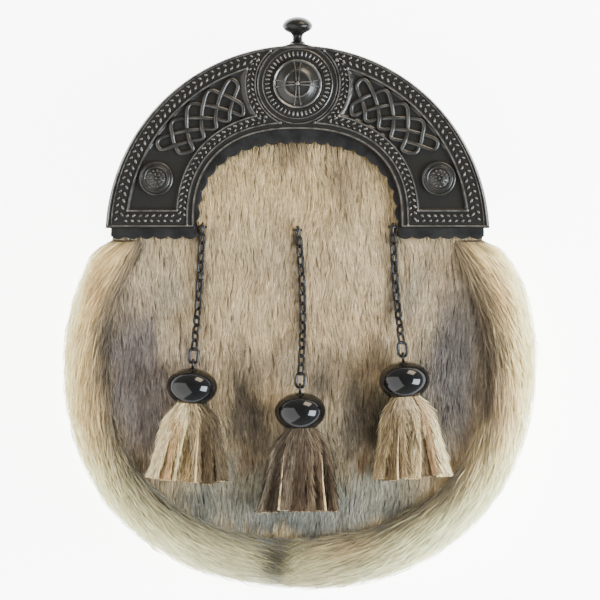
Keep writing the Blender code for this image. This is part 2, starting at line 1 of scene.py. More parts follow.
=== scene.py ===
# %% [markdown]
# # A full-dress sporran, piece by piece
#
# A sporran is the fur-fronted pouch that hangs in front of a kilt. This one lies on its back and is seen
# from straight above. A measured model of it already holds every piece's place and size. This script gives
# each piece the surface that the real one has: hair, cast relief, stitched leather and polished enamel.

# %% Load the measured model
import math

import bmesh
import bpy
import numpy as np
from mathutils import Matrix, Vector


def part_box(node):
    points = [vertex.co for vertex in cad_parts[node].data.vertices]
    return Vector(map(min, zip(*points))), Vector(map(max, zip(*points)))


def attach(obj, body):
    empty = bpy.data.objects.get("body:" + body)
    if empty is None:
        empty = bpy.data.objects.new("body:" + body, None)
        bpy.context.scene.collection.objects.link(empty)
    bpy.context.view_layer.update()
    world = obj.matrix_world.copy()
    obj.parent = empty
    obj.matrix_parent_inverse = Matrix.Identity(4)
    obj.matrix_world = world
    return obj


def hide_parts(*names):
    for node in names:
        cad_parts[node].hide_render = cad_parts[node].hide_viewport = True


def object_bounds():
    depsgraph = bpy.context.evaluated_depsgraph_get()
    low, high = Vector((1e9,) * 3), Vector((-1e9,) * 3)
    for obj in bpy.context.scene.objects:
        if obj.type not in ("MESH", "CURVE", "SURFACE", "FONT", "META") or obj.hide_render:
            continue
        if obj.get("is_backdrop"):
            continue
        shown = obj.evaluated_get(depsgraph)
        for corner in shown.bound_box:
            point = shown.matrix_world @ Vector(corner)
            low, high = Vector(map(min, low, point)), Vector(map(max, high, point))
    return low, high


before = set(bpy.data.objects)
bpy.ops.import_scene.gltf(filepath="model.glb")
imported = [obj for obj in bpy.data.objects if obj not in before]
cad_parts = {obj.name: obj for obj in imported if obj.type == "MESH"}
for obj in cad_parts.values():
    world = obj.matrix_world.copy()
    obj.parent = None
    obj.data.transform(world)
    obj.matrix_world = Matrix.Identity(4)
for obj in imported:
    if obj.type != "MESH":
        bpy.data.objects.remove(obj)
cad_low, cad_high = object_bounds()
print(f"{len(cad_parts)} pieces in the measured model")

# %% [markdown]
# Small ornaments are easier to read in millimetres than in metres, so every shape below is drawn in
# millimetres and made metres at the end of its making. The levels and main sizes are read back from the
# measured model, so nothing has to be fitted by eye.

# %% Levels and driving sizes, in millimetres
MM = 0.001
GAP = 0.3
LEATHER = 2.0
HIDE = 3.0  # skin and pile


def box(node):
    low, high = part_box(node)
    return low / MM, high / MM


FRONT_INSIDE = box("front_panel")[0].z
FRONT_FACE = FRONT_INSIDE + HIDE  # outer face of the hide at its edge
BACK_FACE, BACK_INSIDE = (corner.z for corner in box("back_panel"))
CANTLE_BACK = box("cantle_backing")[1].z + GAP
CANTLE_RADIUS = box("cantle")[1].x
LEG_BOTTOM_Y = box("cantle")[0].y
CENTRE_Y = box("cantle")[1].y - CANTLE_RADIUS  # middle of the half round
TOP_RADIUS = 80.0
WAIST_HALF_WIDTH, WAIST_Y = box("front_panel")[1].x, -28.3
BOTTOM_DROP = WAIST_Y - box("front_panel")[0].y
BOTTOM_POWER = 2.3
BULGE, BULGE_Y, BULGE_WIDE, BULGE_HIGH = 3.5, -38.0, 80.0, 64.0  # how the full pouch swells the front
ARCH_HALF_WIDTH, ARCH_HEIGHT, ARCH_CENTRE_Y = 44.5, 39.3, 34.1
ARCH_POWER = 2.4  # 2 would be an ellipse; more makes the shoulders fuller
MEDALLION_Y = 93.1
BOSS_X, BOSS_Y = 60.9, 52.3
print(f"hide at {FRONT_FACE:.1f} mm, cantle's back at {CANTLE_BACK:.1f} mm")

# %% Rules that many pieces share
UP = Vector((0, 0, 1))


def blend(low, high, share):
    return low + (high - low) * share


def smooth_step(share):
    share = np.clip(share, 0.0, 1.0)
    return share * share * (3 - 2 * share)


def front_level(x, y):
    """Height of the hide's face, which swells where the pouch is full."""
    reach = np.hypot(x / BULGE_WIDE, (y - BULGE_Y) / BULGE_HIGH)
    return FRONT_FACE + BULGE * smooth_step(1 - reach)


def even_turns(count):
    return [2 * math.pi * k / count for k in range(count)]


def on_circle(radius, turn, x=0.0, y=0.0):
    return Vector((x + radius * math.cos(turn), y + radius * math.sin(turn)))


def run_along(points):
    """How far along a line each of its points lies."""
    return np.concatenate(([0.0], np.cumsum(np.linalg.norm(np.diff(points, axis=0), axis=1))))


# %% [markdown]
# The photograph is a product shot from straight above, from far away, on white. A camera without any turn
# already looks straight down with +Y up, so only its place and its focal length are set. A cool window at
# the right draws the pale lines on the metal and the patch on each bell, a wide one at the left fills the
# shadows, and a warm wall gives the beige patch above the cool one.

# %% Camera
FIELD = 0.2592  # width of the photographed frame at the hide
VIEW_HEIGHT = 1.6
camera = bpy.data.objects.new("camera", bpy.data.cameras.new("camera"))
bpy.context.scene.collection.objects.link(camera)
camera.data.sensor_width = 36.0
camera.data.lens = camera.data.sensor_width * VIEW_HEIGHT / FIELD
camera.data.clip_start, camera.data.clip_end = 0.1, 20.0
camera.location = (0.00108, 0.0, FRONT_FACE * MM + VIEW_HEIGHT)
bpy.context.scene.camera = camera
print(f"focal length {camera.data.lens:.0f} mm")

# %% Lights
LIGHTS = (
    # name, place, size, watts, colour
    ("right_window", (1.05, -0.25, 0.74), 0.75, 50.0, (0.8, 0.9, 1.0)),
    ("left_window", (-1.05, -0.45, 0.66), 2.5, 58.0, (0.98, 0.97, 0.96)),
    ("warm_wall", (0.56, 1.0, 0.52), 0.6, 16.0, (1.0, 0.82, 0.6)),
)
for name, place, size, watts, colour in LIGHTS:
    light = bpy.data.lights.new(name, "AREA")
    light.size, light.energy, light.color = size, watts, colour
    lamp = bpy.data.objects.new(name, light)
    lamp.location = place
    lamp.rotation_euler = Vector(place).to_track_quat("Z", "Y").to_euler()
    bpy.context.scene.collection.objects.link(lamp)
print(f"{len(LIGHTS)} soft lights")

# %% [markdown]
# Materials are built from nodes. Making, setting and linking each node by hand gets long, so `node` does
# all three, and the few kinds that come back in every finish have a short name of their own.

# %% Helpers that add nodes


def fill(made, numbered=None, **named):
    """Gives a node's inputs values or other nodes' outputs. Base_Color stands for the input Base Color."""
    for label, value in {**(numbered or {}), **named}.items():
        socket = made.inputs[label.replace("_", " ") if isinstance(label, str) else label]
        if isinstance(value, bpy.types.NodeSocket):
            made.id_data.links.new(value, socket)
        else:
            socket.default_value = value


def node(tree, kind, out=0, settings=None, numbered=None, **named):
    """Adds a node, fills its inputs and returns one of its outputs."""
    made = tree.nodes.new("ShaderNode" + kind)
    for name, value in (settings or {}).items():
        setattr(made, name, value)
    fill(made, numbered, **named)
    return made.outputs[out]


def spot(tree):
    """The place of a point on the piece, which every pattern reads."""
    return node(tree, "TexCoord", "Object")


def noise(tree, scale, detail=2.0, roughness=0.5):
    return node(tree, "TexNoise", "Fac", Vector=spot(tree), Scale=scale, Detail=detail, Roughness=roughness)


def span(tree, value, low=0.0, high=1.0, to_low=0.0, to_high=1.0):
    """Maps a value from one range to another."""
    return node(
        tree, "MapRange", "Result", Value=value, From_Min=low, From_Max=high, To_Min=to_low, To_Max=to_high,
    )


def mix(tree, factor, low, high, kind="RGBA"):
    """Blends two colours (red, green, blue, 1), or two numbers if kind is FLOAT."""
    first, out = {"RGBA": (6, 2), "FLOAT": (2, 0)}[kind]
    return node(tree, "Mix", out, {"data_type": kind}, {first: low, first + 1: high}, Factor=factor)


def bump(tree, height, strength, distance):
    return node(tree, "Bump", "Normal", Height=height, Strength=strength, Distance=distance)


# %% Helpers for groups and materials


def new_group(name, inputs, outputs):
    """An empty shader group, its inputs' sockets and its output node. inputs gives each input its default."""
    group = bpy.data.node_groups.new(name, "ShaderNodeTree")
    for label, value in inputs.items():
        kind = "NodeSocketColor" if isinstance(value, tuple) else "NodeSocketFloat"
        group.interface.new_socket(label, in_out="INPUT", socket_type=kind).default_value = value
    for label in outputs:
        kind = "NodeSocketColor" if label == "Colour" else "NodeSocketFloat"
        group.interface.new_socket(label, in_out="OUTPUT", socket_type=kind)
    return group, group.nodes.new("NodeGroupInput").outputs, group.nodes.new("NodeGroupOutput")


def use_group(tree, group, **values):
    made = tree.nodes.new("ShaderNodeGroup")
    made.node_tree = group
    fill(made, **values)
    return made.outputs


def new_material(name, **constants):
    """A material with its Principled shader, whose constants are set on its own sockets."""
    made = bpy.data.materials.new(name)
    made.use_nodes = True
    shader = made.node_tree.nodes["Principled BSDF"]
    fill(shader, **constants)
    return made, made.node_tree, shader


# %% [markdown]
# A white tent surrounds the table. The camera looks in through a gap at its top, and a polished bell
# mirrors that gap as a dark middle. So the world is white at the sides and fades towards the point
# overhead.

# %% The white world
world = bpy.data.worlds.new("white studio")
bpy.context.scene.world = world
world.use_nodes = True
tent = world.node_tree
upwards = node(tent, "SeparateXYZ", "Z", Vector=node(tent, "TexCoord", "Generated"))
strength = span(tent, upwards, 0.1, 0.9, 0.62, 0.24)
fill(tent.nodes["Background"], Color=(1.0, 0.99, 0.975, 1), Strength=strength)

# %% Colours as a screen shows them
SEEN_POWER = 3.2  # over a screen's 2.2, because the studio light is bright


def seen(red, green, blue):
    """A colour as the photograph shows it, 0 to 255, in the linear light that shaders and attributes hold."""
    return tuple((value / 255) ** SEEN_POWER for value in (red, green, blue))


# %% [markdown]
# Three effects come back in several finishes, so each is a group. **Fine grain** is the pebbled face of
# leather, made of cells and broken up by creases. **Rubbed relief** lets blackened metal turn bright where
# an attribute named `wear` says so, which is on its high parts, where cloth and hands polish it. **Fibre
# streaks** breaks up a hair's colour along its length.

# %% Fine grain
grain_group, given, put = new_group(
    "fine grain", {"Cells per metre": 900.0, "Crease": 0.5}, ("Height", "Wear"),
)
cells = node(
    grain_group, "TexVoronoi", "Distance", {"feature": "SMOOTH_F1"},
    Vector=spot(grain_group), Scale=given["Cells per metre"], Randomness=0.9,
)
creases = noise(grain_group, 160.0, 5.0, 0.6)
height = mix(grain_group, given["Crease"], cells, creases, "FLOAT")
fill(put, Height=height, Wear=span(grain_group, creases, 0.4, 0.7))

# %% Rubbed relief
rub_group, given, put = new_group(
    "rubbed relief", {"Wear": 0.0, "Dark": (0.02, 0.02, 0.02, 1), "Bright": (0.3, 0.3, 0.3, 1)},
    ("Colour", "Roughness", "Pits"),
)
uneven = span(rub_group, noise(rub_group, 260.0, 6.0, 0.65), 0.35, 0.62, 0.15)
rubbed = node(rub_group, "Math", 0, {"operation": "MULTIPLY"}, {0: given["Wear"], 1: uneven})
fill(
    put, Colour=mix(rub_group, rubbed, given["Dark"], given["Bright"]),
    Roughness=span(rub_group, rubbed, to_low=0.3, to_high=0.22), Pits=noise(rub_group, 1500.0, 3.0),
)

# %% Fibre streaks
streak_group, given, put = new_group(
    "fibre streaks", {"Colour": (0.5, 0.4, 0.3, 1), "Along": 60.0, "Strength": 0.25}, ("Colour", "Roughness"),
)
bands = noise(streak_group, given["Along"], 4.0, 0.6)
swing = span(streak_group, bands, 0.3, 0.7, -1.0, 1.0)
push = node(streak_group, "Math", 0, {"operation": "MULTIPLY_ADD"}, {0: swing, 1: given["Strength"], 2: 1.0})
tone = node(streak_group, "VectorMath", "Vector", {"operation": "SCALE"}, {0: given["Colour"]}, Scale=push)
fill(put, Colour=tone, Roughness=span(streak_group, bands, to_low=0.5, to_high=0.8))
print("groups:", ", ".join(group.name for group in bpy.data.node_groups))

# %% [markdown]
# Black leather is never one black: its grain catches light and its creases wear a little grey. The same
# recipe serves the backing under the cantle and the plain back, with a coarser grain there.

# %% Leather finishes


def leather_finish(name, colour, worn, cells_per_metre, depth):
    made, tree, shader = new_material(name, Specular_IOR_Level=0.22)
    grain = use_group(tree, grain_group, Cells_per_metre=cells_per_metre, Crease=0.45)
    fill(
        shader, Base_Color=mix(tree, grain["Wear"], (*colour, 1), (*worn, 1)),
        Roughness=span(tree, grain["Wear"], to_low=0.42, to_high=0.62),
        Normal=bump(tree, grain["Height"], 0.7, depth),
    )
    return made


BACKING_TONES = (0.007, 0.0068, 0.006), (0.016, 0.0152, 0.0132)
BACK_TONES = (0.011, 0.011, 0.01), (0.03, 0.029, 0.027)
backing_finish = leather_finish("black bridle leather", *BACKING_TONES, 1500.0, 0.00012)
back_finish = leather_finish("plain black back leather", *BACK_TONES, 950.0, 0.0002)

# %% [markdown]
# The thread is waxed black linen. A fine twist runs along it, which a wave texture gives.

# %% Thread finish
thread_finish, tree, shader = new_material("waxed black thread", Roughness=0.5, Specular_IOR_Level=0.5)
twist = node(tree, "TexWave", "Fac", Vector=spot(tree), Scale=900.0, Distortion=1.5)
fill(
    shader, Base_Color=mix(tree, twist, (0.035, 0.034, 0.032, 1), (0.09, 0.088, 0.082, 1)),
    Normal=bump(tree, twist, 0.6, 0.0001),
)

# %% [markdown]
# The cantle is cast, blackened and then rubbed, so its lines shine and its hollows stay dark. How far a
# point stands over the smooth metal around it is painted on each piece further down, as the attribute
# `wear`.

# %% Metal finishes


def metal_finish(name, dark, bright, pit_depth, specular=0.5):
    made, tree, shader = new_material(name, Specular_IOR_Level=specular, Metallic=0.5)
    wear = node(tree, "Attribute", "Fac", {"attribute_name": "wear"})
    rub = use_group(tree, rub_group, Wear=wear, Dark=(*dark, 1), Bright=(*bright, 1))
    fill(
        shader, Base_Color=rub["Colour"], Roughness=rub["Roughness"],
        Normal=bump(tree, rub["Pits"], 0.35, pit_depth),
    )
    return made


cantle_finish = metal_finish("blackened pewter", (0.025, 0.0238, 0.0205), (0.18, 0.17, 0.155), 0.0001)
turned_finish = metal_finish("blackened turnings", (0.01, 0.01, 0.009), (0.025, 0.025, 0.023), 0.00006, 0.2)
chain_finish = metal_finish("blackened links", (0.006, 0.006, 0.006), (0.022, 0.022, 0.023), 0.00005)

# %% [markdown]
# The bells are enamelled: a black body under a clear coat, polished enough to mirror the window, with the
# very slight waviness that a dipped coat has.

# %% Enamel finish
enamel_finish, tree, shader = new_material(
    "black bell enamel", Coat_Weight=1.0, Coat_Roughness=0.06, Coat_IOR=1.34, Specular_IOR_Level=0.1,
)
dust = noise(tree, 900.0, 4.0)
fill(
    shader, Base_Color=mix(tree, dust, (0.003, 0.003, 0.003, 1), (0.008, 0.008, 0.008, 1)),
    Roughness=span(tree, dust, 0.4, 0.75, 0.1, 0.24), Normal=bump(tree, noise(tree, 170.0), 0.25, 0.0006),
)

# %% [markdown]
# Hair takes its colour from an attribute named `tint`, which the code below paints strand by strand. So the
# finish itself only adds what all hair shares: streaks, a dull shine and a little sheen.

# %% Hair finishes


def hair_finish(name, along, strength, sheen):
    made, tree, shader = new_material(
        name, Specular_IOR_Level=0.2, Sheen_Weight=sheen, Sheen_Roughness=0.45,
    )
    tint = node(tree, "Attribute", "Color", {"attribute_name": "tint"})
    streaks = use_group(tree, streak_group, Colour=tint, Along=along, Strength=strength)
    fill(shader, Base_Color=streaks["Colour"], Roughness=streaks["Roughness"])
    return made


pile_finish = hair_finish("short hide pile", 420.0, 0.16, 0.03)
fur_finish = hair_finish("long gusset fur", 240.0, 0.12, 0.5)
tassel_finish = hair_finish("tassel fur", 380.0, 0.16, 0.03)
skin_finish = hair_finish("bare skin side", 900.0, 0.1, 0.02)

# %% [markdown]
# Every piece ends the same way: its mesh is scaled from millimetres to metres, shaded, given its finish,
# tied to the body it belongs to, and set in place of the plain solid that it stands for. The object itself
# stays at the origin, unturned.

# %% Helpers that finish a piece


def settle(name, mesh, finish, slot, *nodes):
    """Makes a mesh, already in metres, a piece of the sporran."""
    piece = bpy.data.objects.new(name, mesh)
    bpy.context.scene.collection.objects.link(piece)
    mesh.materials.append(finish)
    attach(piece, "root")
    if nodes:
        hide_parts(*nodes)
    mesh.calc_loop_triangles()
    print(f"{name}: {len(mesh.loop_triangles)} triangles")
    return piece


def finish_piece(name, bm, finish, slot, *nodes, sharp=40):
    """Turns a bmesh in millimetres into a finished piece."""
    mesh = bpy.data.meshes.new(name)
    bm.to_mesh(mesh)
    bm.free()
    mesh.transform(Matrix.Scale(MM, 4))
    mesh.shade_smooth()
    mesh.set_sharp_from_angle(angle=math.radians(sharp))
    return settle(name, mesh, finish, slot, *nodes)


def points_of(piece):
    """The x, y and z of a piece's points in millimetres, as three arrays."""
    points = np.zeros(len(piece.data.vertices) * 3)
    piece.data.vertices.foreach_get("co", points)
    return points.reshape(-1, 3).T / MM


def paint(mesh, name, values):
    """Writes a colour, or a grey value, for each point in an attribute that a finish reads."""
    layer = mesh.color_attributes.new(name, "FLOAT_COLOR", "POINT")
    full = np.ones((len(mesh.vertices), 4), np.float32)
    full[:, :3] = values if np.ndim(values) == 2 else np.asarray(values)[:, None]
    layer.data.foreach_set("color", full.ravel())


def wear_upwards(piece, low, high):
    """Rubs a small metal piece on its upper side, from the level low to the level high."""
    paint(piece.data, "wear", smooth_step((points_of(piece)[2] - low) / (high - low)))


# %% [markdown]
# Four ways of shaping cover nearly all the hard parts. `loft` extrudes a section step by step and moves
# each new ring to its place. `sweep` is a loft of small rings along a route, for wires and raised lines.
# `turned` spins a profile as a lathe does. `scatter` copies one small shape to many places with array
# arithmetic, which is far faster than making each copy with an operator.

# %% Loft and sweep


def loft(bm, sections, around=False):
    """Extrudes the first closed section through the others. around joins the last to the first again."""
    ring = [bm.verts.new(point) for point in sections[0]]
    links = [bm.edges.new(pair) for pair in zip(ring, ring[1:] + ring[:1])]
    start = list(links)
    for section in sections[1:]:
        made = bmesh.ops.extrude_edge_only(bm, edges=links)["geom"]
        fresh = {item for item in made if isinstance(item, bmesh.types.BMVert)}
        ring = [
            next(other for other in (edge.other_vert(old) for edge in old.link_edges) if other in fresh)
            for old in ring
        ]
        for vert, point in zip(ring, section):
            vert.co = point
        grown = [item for item in made if isinstance(item, bmesh.types.BMEdge)]
        links = [edge for edge in grown if fresh.issuperset(edge.verts)]
    if around:
        bmesh.ops.bridge_loops(bm, edges=start + links)
    else:
        bmesh.ops.holes_fill(bm, edges=start + links, sides=0)
    bmesh.ops.recalc_face_normals(bm, faces=bm.faces)


def add_to(bm, small):
    """Moves a small bmesh into a larger one, with its faces pointing out."""
    bmesh.ops.recalc_face_normals(small, faces=small.faces)
    carrier = bpy.data.meshes.new("carrier")
    small.to_mesh(carrier)
    small.free()
    bm.from_mesh(carrier)
    bpy.data.meshes.remove(carrier)


def ring_about(at, side, up, count):
    """Points round an ellipse whose half axes are side and up."""
    return [at + side * math.cos(turn) + up * math.sin(turn) for turn in even_turns(count)]


def sweep(bm, route, radius, sides=6, around=False, flat=1.0):
    """A round or flattened tube along a route, its up side towards +Z. radius can differ at each point."""
    route = [Vector(point) for point in route]
    count = len(route)
    sections = []
    for k, (at, size) in enumerate(zip(route, np.broadcast_to(radius, count).tolist())):
        before = route[k - 1] if k or around else at
        after = route[(k + 1) % count] if k + 1 < count or around else at
        along = (after - before).normalized()
        side = UP.cross(along)
        side = side.normalized() if side.length > 1e-4 else Vector((1, 0, 0))
        sections.append(ring_about(at, side * size, along.cross(side) * (flat * size), sides))
    small = bmesh.new()
    loft(small, sections, around=around)
    add_to(bm, small)


# %% Turned and scattered shapes


def turned(bm, profile, steps, place=Matrix()):
    """Spins (radius, height) points about Z and puts the closed result in bm at place."""
    small = bmesh.new()
    points = [small.verts.new((radius, 0, height)) for radius, height in profile]
    links = [small.edges.new(pair) for pair in zip(points, points[1:])]
    bmesh.ops.spin(
        small, geom=points + links, cent=(0, 0, 0), axis=(0, 0, 1), angle=2 * math.pi, steps=steps,
        use_merge=True,
    )
    bmesh.ops.remove_doubles(small, verts=small.verts, dist=0.001)
    bmesh.ops.transform(small, matrix=place, verts=small.verts)
    add_to(bm, small)


def scatter(bm, shape, places):
    """Copies a small bmesh shape to each 4x4 matrix in places and joins the copies in bm."""
    template = bpy.data.meshes.new("template")
    shape.to_mesh(template)
    shape.free()
    corners = np.ones((len(template.vertices), 4))
    corners[:, :3] = [vert.co for vert in template.vertices]
    matrices = np.array([list(map(list, place)) for place in places])
    placed = np.einsum("mij,vj->mvi", matrices, corners)[..., :3].reshape(-1, 3)
    faces = [list(face.vertices) for face in template.polygons]
    firsts = range(0, len(placed), len(corners))
    joined = bpy.data.meshes.new("joined")
    joined.from_pydata(placed, [], [[first + v for v in face] for first in firsts for face in faces])
    bm.from_mesh(joined)
    bpy.data.meshes.remove(template)
    bpy.data.meshes.remove(joined)


def bead(half_length, half_width, half_height, subdivisions=2):
    """A small ellipsoid, long along X."""
    shape = bmesh.new()
    bmesh.ops.create_icosphere(shape, subdivisions=subdivisions, radius=1.0)
    bmesh.ops.scale(shape, vec=(half_length, half_width, half_height), verts=shape.verts)
    return shape


def stations(route, pitch, start=0.0):
    """Points every pitch millimetres along a route, each with the angle that the route runs at there."""
    route = np.array([tuple(point)[:2] for point in route])
    run = run_along(route)
    count = max(int((run[-1] - start) // pitch), 1)
    spare = (run[-1] - start - count * pitch) / 2
    at = start + spare + pitch * np.arange(count + 1)
    here, ahead, behind = ([np.interp(at + step, run, axis) for axis in route.T] for step in (0, 0.2, -0.2))
    return *here, np.arctan2(ahead[1] - behind[1], ahead[0] - behind[0])


def flat_place(x, y, z, turn=0.0):
    return Matrix.Translation((x, y, z)) @ Matrix.Rotation(turn, 4, "Z")


# %% [markdown]
# ## The cantle
#
# The cantle is the cast metal mount round the mouth of the pouch. A plain plate comes first: one closed
# section, from the arch over the face to the rim and down the turned-back flange, is extruded round the
# half circle. Its level at each point follows from the distance to the nearest edge, so that the panel
# between the borders is recessed all round, also along the medallion's circle.

# %% Places on the cantle
NARROWING = 0.028  # the rim's border is this much narrower for each millimetre up the cantle


def narrowed(inset, y):
    """True distance from the rim of a border line that lies at inset at the foot of the leg."""
    return inset - NARROWING * (y - CENTRE_Y) * min(inset / 4, 1.0)


def rim_point(turn, inset):
    inset = narrowed(inset, CENTRE_Y + CANTLE_RADIUS * math.sin(turn))
    return on_circle(CANTLE_RADIUS - inset, turn, 0, CENTRE_Y)


def arch_sum(x, y, half_width=ARCH_HALF_WIDTH, half_height=ARCH_HEIGHT):
    """Less than 1 inside an arch of this size and more outside. x and y are from its middle."""
    return (abs(x) / half_width) ** ARCH_POWER + (abs(y) / half_height) ** ARCH_POWER


def arch_point(turn, outset):
    """The point in a direction from the arch's centre, at a distance outside the arch."""
    edge = on_circle(arch_sum(math.cos(turn), math.sin(turn)) ** (-1 / ARCH_POWER), turn)
    outward = Vector([
        math.copysign((abs(part) / half) ** (ARCH_POWER - 1) / half, part)
        for part, half in zip(edge, (ARCH_HALF_WIDTH, ARCH_HEIGHT))
    ])
    return edge + Vector((0, ARCH_CENTRE_Y)) + outward.normalized() * outset


def edge_distances(x, y):
    """Distances from the rim, the arch, the foot of the leg and the middle of the medallion."""
    from_rim = CANTLE_RADIUS - np.hypot(x, y - CENTRE_Y)
    from_rim = from_rim + NARROWING * (y - CENTRE_Y) * np.clip(from_rim / 4, 0, 1)
    a, b = np.abs(x) / ARCH_HALF_WIDTH, np.abs(y - ARCH_CENTRE_Y) / ARCH_HEIGHT
    size = np.maximum(arch_sum(x, y - ARCH_CENTRE_Y) ** (1 / ARCH_POWER), 0.01)
    steepness = np.hypot(
        (a / size) ** (ARCH_POWER - 1) / ARCH_HALF_WIDTH, (b / size) ** (ARCH_POWER - 1) / ARCH_HEIGHT,
    )
    return from_rim, (size - 1) / steepness, y - LEG_BOTTOM_Y, np.hypot(x, y - MEDALLION_Y)


RIM_BORDER, ARCH_BORDER, LEG_BORDER, MEDALLION_BORDER = 9.5, 8.0, 7.8, 23.2
BORDER_LEVEL, FIELD_LEVEL, EDGE_LEVEL = 2.4, 1.4, 1.3  # above the back of the plate


def plate_level(x, y):
    """Level of the plate's smooth face over its back."""
    rim, arch, leg, medallion = edge_distances(x, y)
    depths = (rim - RIM_BORDER, arch - ARCH_BORDER, leg - LEG_BORDER, medallion - MEDALLION_BORDER)
    level = blend(BORDER_LEVEL, FIELD_LEVEL, smooth_step(np.minimum.reduce(depths) / 0.8 + 0.5))
    rounding = smooth_step(np.minimum.reduce((rim / 0.8, arch / 0.7, leg / 0.8)))
    return blend(EDGE_LEVEL, level, rounding)


# %% The plate and its turned-back flange
PLATE_STEPS = 230
FLANGE_DEPTH = CANTLE_BACK - box("cantle")[0].z
FROM_ARCH = (0.0, 0.2, 0.45, 0.8, 1.8, 3.2, 5.0, 6.8, 7.5, 7.9, 8.3, 9.2)
FROM_RIM = (13.5, 11.2, 10.4, 9.9, 9.5, 9.1, 8.0, 6.4, 4.8, 3.2, 1.8, 0.9, 0.5, 0.2, 0.0)
FLANGE = (
    # distance in from the rim, level
    (0.0, -0.6), (0.0, -6.6), (0.25, -7.4), (0.7, -FLANGE_DEPTH), (1.5, -FLANGE_DEPTH), (1.9, -7.4),
    (2.0, 0.0),
)


def cantle_section(share):
    """One closed section. share is 0 at the foot of the right leg and 1 at the left one."""
    low_rim = math.asin((LEG_BOTTOM_Y - CENTRE_Y) / CANTLE_RADIUS)
    drop = ARCH_CENTRE_Y - LEG_BOTTOM_Y
    foot_x = ARCH_HALF_WIDTH * (1 - (drop / ARCH_HEIGHT) ** ARCH_POWER) ** (1 / ARCH_POWER)
    low_arch = -math.atan2(drop, foot_x)
    rim = rim_point(blend(low_rim, math.pi - low_rim, share), 0)
    arch = arch_point(blend(low_arch, math.pi - low_arch, share), 0)
    across = (rim - arch).normalized()
    face = [arch + across * distance for distance in FROM_ARCH]
    insets = [narrowed(distance, rim.y) for distance in FROM_RIM]
    face += [face[-1].lerp(rim - across * insets[0], part) for part in (0.25, 0.5, 0.75)]
    face += [rim - across * distance for distance in insets]
    ring = [(*arch, CANTLE_BACK)] + [(*at, CANTLE_BACK + plate_level(*at)) for at in face]
    return ring + [(*(rim - across * inset), CANTLE_BACK + level) for inset, level in FLANGE]


cantle = bmesh.new()
plate = bmesh.new()
loft(plate, [cantle_section(k / PLATE_STEPS) for k in range(PLATE_STEPS + 1)])
add_to(cantle, plate)
print(f"plate of {len(cantle.faces)} faces")

# %% [markdown]
# Raised lines frame the borders. Each follows an edge at a fixed distance and stops where it meets another
# border, so a route is first drawn too long and then only the points that keep their distance from the
# other edges are kept. Where a line ends free it has a small round dot, as on the casting.

# %% Border lines


def kept(route, rim=0.0, arch=0.0, leg=0.0, medallion=0.0):
    """The part of a route that keeps these distances from the edges."""
    least = (rim, arch, leg, medallion)
    return [at for at in route if all(d >= m - 1e-6 for d, m in zip(edge_distances(*at), least))]


def rim_route(inset, **distances):
    return kept([rim_point(math.radians(a), inset) for a in np.linspace(2, 90, 500)], **distances)


def arch_route(outset, **distances):
    return kept([arch_point(math.radians(a), outset) for a in np.linspace(-6, 90, 400)], **distances)


def leg_route(rise, **distances):
    return kept([Vector((x, LEG_BOTTOM_Y + rise)) for x in np.linspace(40, 84, 300)], **distances)


def medallion_route(radius, **distances):
    turns = np.radians(np.linspace(-90, 90, 400))
    return kept([on_circle(radius, turn, 0, MEDALLION_Y) for turn in turns], **distances)


def thinned(route, pitch=1.3):
    x, y, _ = stations(route, pitch)
    return [Vector(at) for at in (route[0], *zip(x, y), route[-1])]


LINES = (
    # route, radius of the line, dots at its ends
    (rim_route(1.2, leg=1.1), 0.34, False),
    (rim_route(2.5, leg=1.1), 0.32, False),
    (rim_route(9.1, leg=7.4, medallion=22.6), 0.5, True),
    (arch_route(0.7, leg=0.9), 0.46, False),
    (arch_route(3.1, leg=1.1, medallion=18.4), 0.46, True),
    (arch_route(7.5, leg=7.4, medallion=22.6), 0.44, True),
    (leg_route(0.9, rim=1.2, arch=0.7), 0.42, False),
    (leg_route(7.4, rim=9.1, arch=7.5), 0.46, False),
    (medallion_route(18.3, rim=2.6, arch=3.1), 0.42, True),
    (medallion_route(22.5, rim=9.1, arch=7.5), 0.46, True),
)
for route, radius, dotted in LINES:
    line = [(at.x, at.y, CANTLE_BACK + plate_level(*at) + 0.22) for at in thinned(route)]
    for side in (1, -1):
        half = [(side * x, y, z) for x, y, z in line]
        sweep(cantle, half, radius)
        if dotted:
            ends = [flat_place(x, y, z - 0.02) for x, y, z in (half[0], half[-1])]
            scatter(cantle, bead(0.7, 0.7, 0.75), ends)
print(f"with the border lines: {len(cantle.faces)} faces")

# %% [markdown]
# The borders between the lines are plaits. Seen at this size a plait is two staggered rows of short slanted
# swells, like ears of wheat, so each swell is one small ellipsoid and each row leans the other way.

# %% Plaited borders
PLAITS = (
    # middle of the plait, distance between its two rows, pitch,
    # half length, half width and slant of a swell in the outer row, and in the inner row
    (rim_route(5.7, leg=3.4, medallion=20.0), 2.3, 3.0, (0.95, 0.55, 42), (1.2, 0.6, -42)),
    (arch_route(5.3, leg=3.4, medallion=20.2), 1.9, 2.7, (1.1, 0.55, 40), (0.85, 0.5, -40)),
    (leg_route(4.2, rim=8.0, arch=6.4), 2.2, 2.8, (0.85, 0.6, 30), (0.95, 0.6, -35)),
    (medallion_route(20.4, rim=6.0, arch=5.0), 1.7, 2.3, (0.9, 0.45, 36), (0.9, 0.45, -36)),
)
swells = 0
for middle, spread, pitch, *rows in PLAITS:
    for row, (half_length, half_width, slant) in zip((-1, 1), rows):
        x, y, turn = stations(middle, pitch, start=pitch / 2 if row > 0 else 0.0)
        x, y = x - np.sin(turn) * row * spread / 2, y + np.cos(turn) * row * spread / 2
        places = [
            flat_place(side * a, b, CANTLE_BACK + BORDER_LEVEL + 0.08, side * (angle + math.radians(slant)))
            for a, b, angle in zip(x, y, turn) for side in (1, -1)
        ]
        scatter(cantle, bead(half_length, half_width, 0.75), places)
        swells += len(places)
print(f"{swells} swells in the plaits")

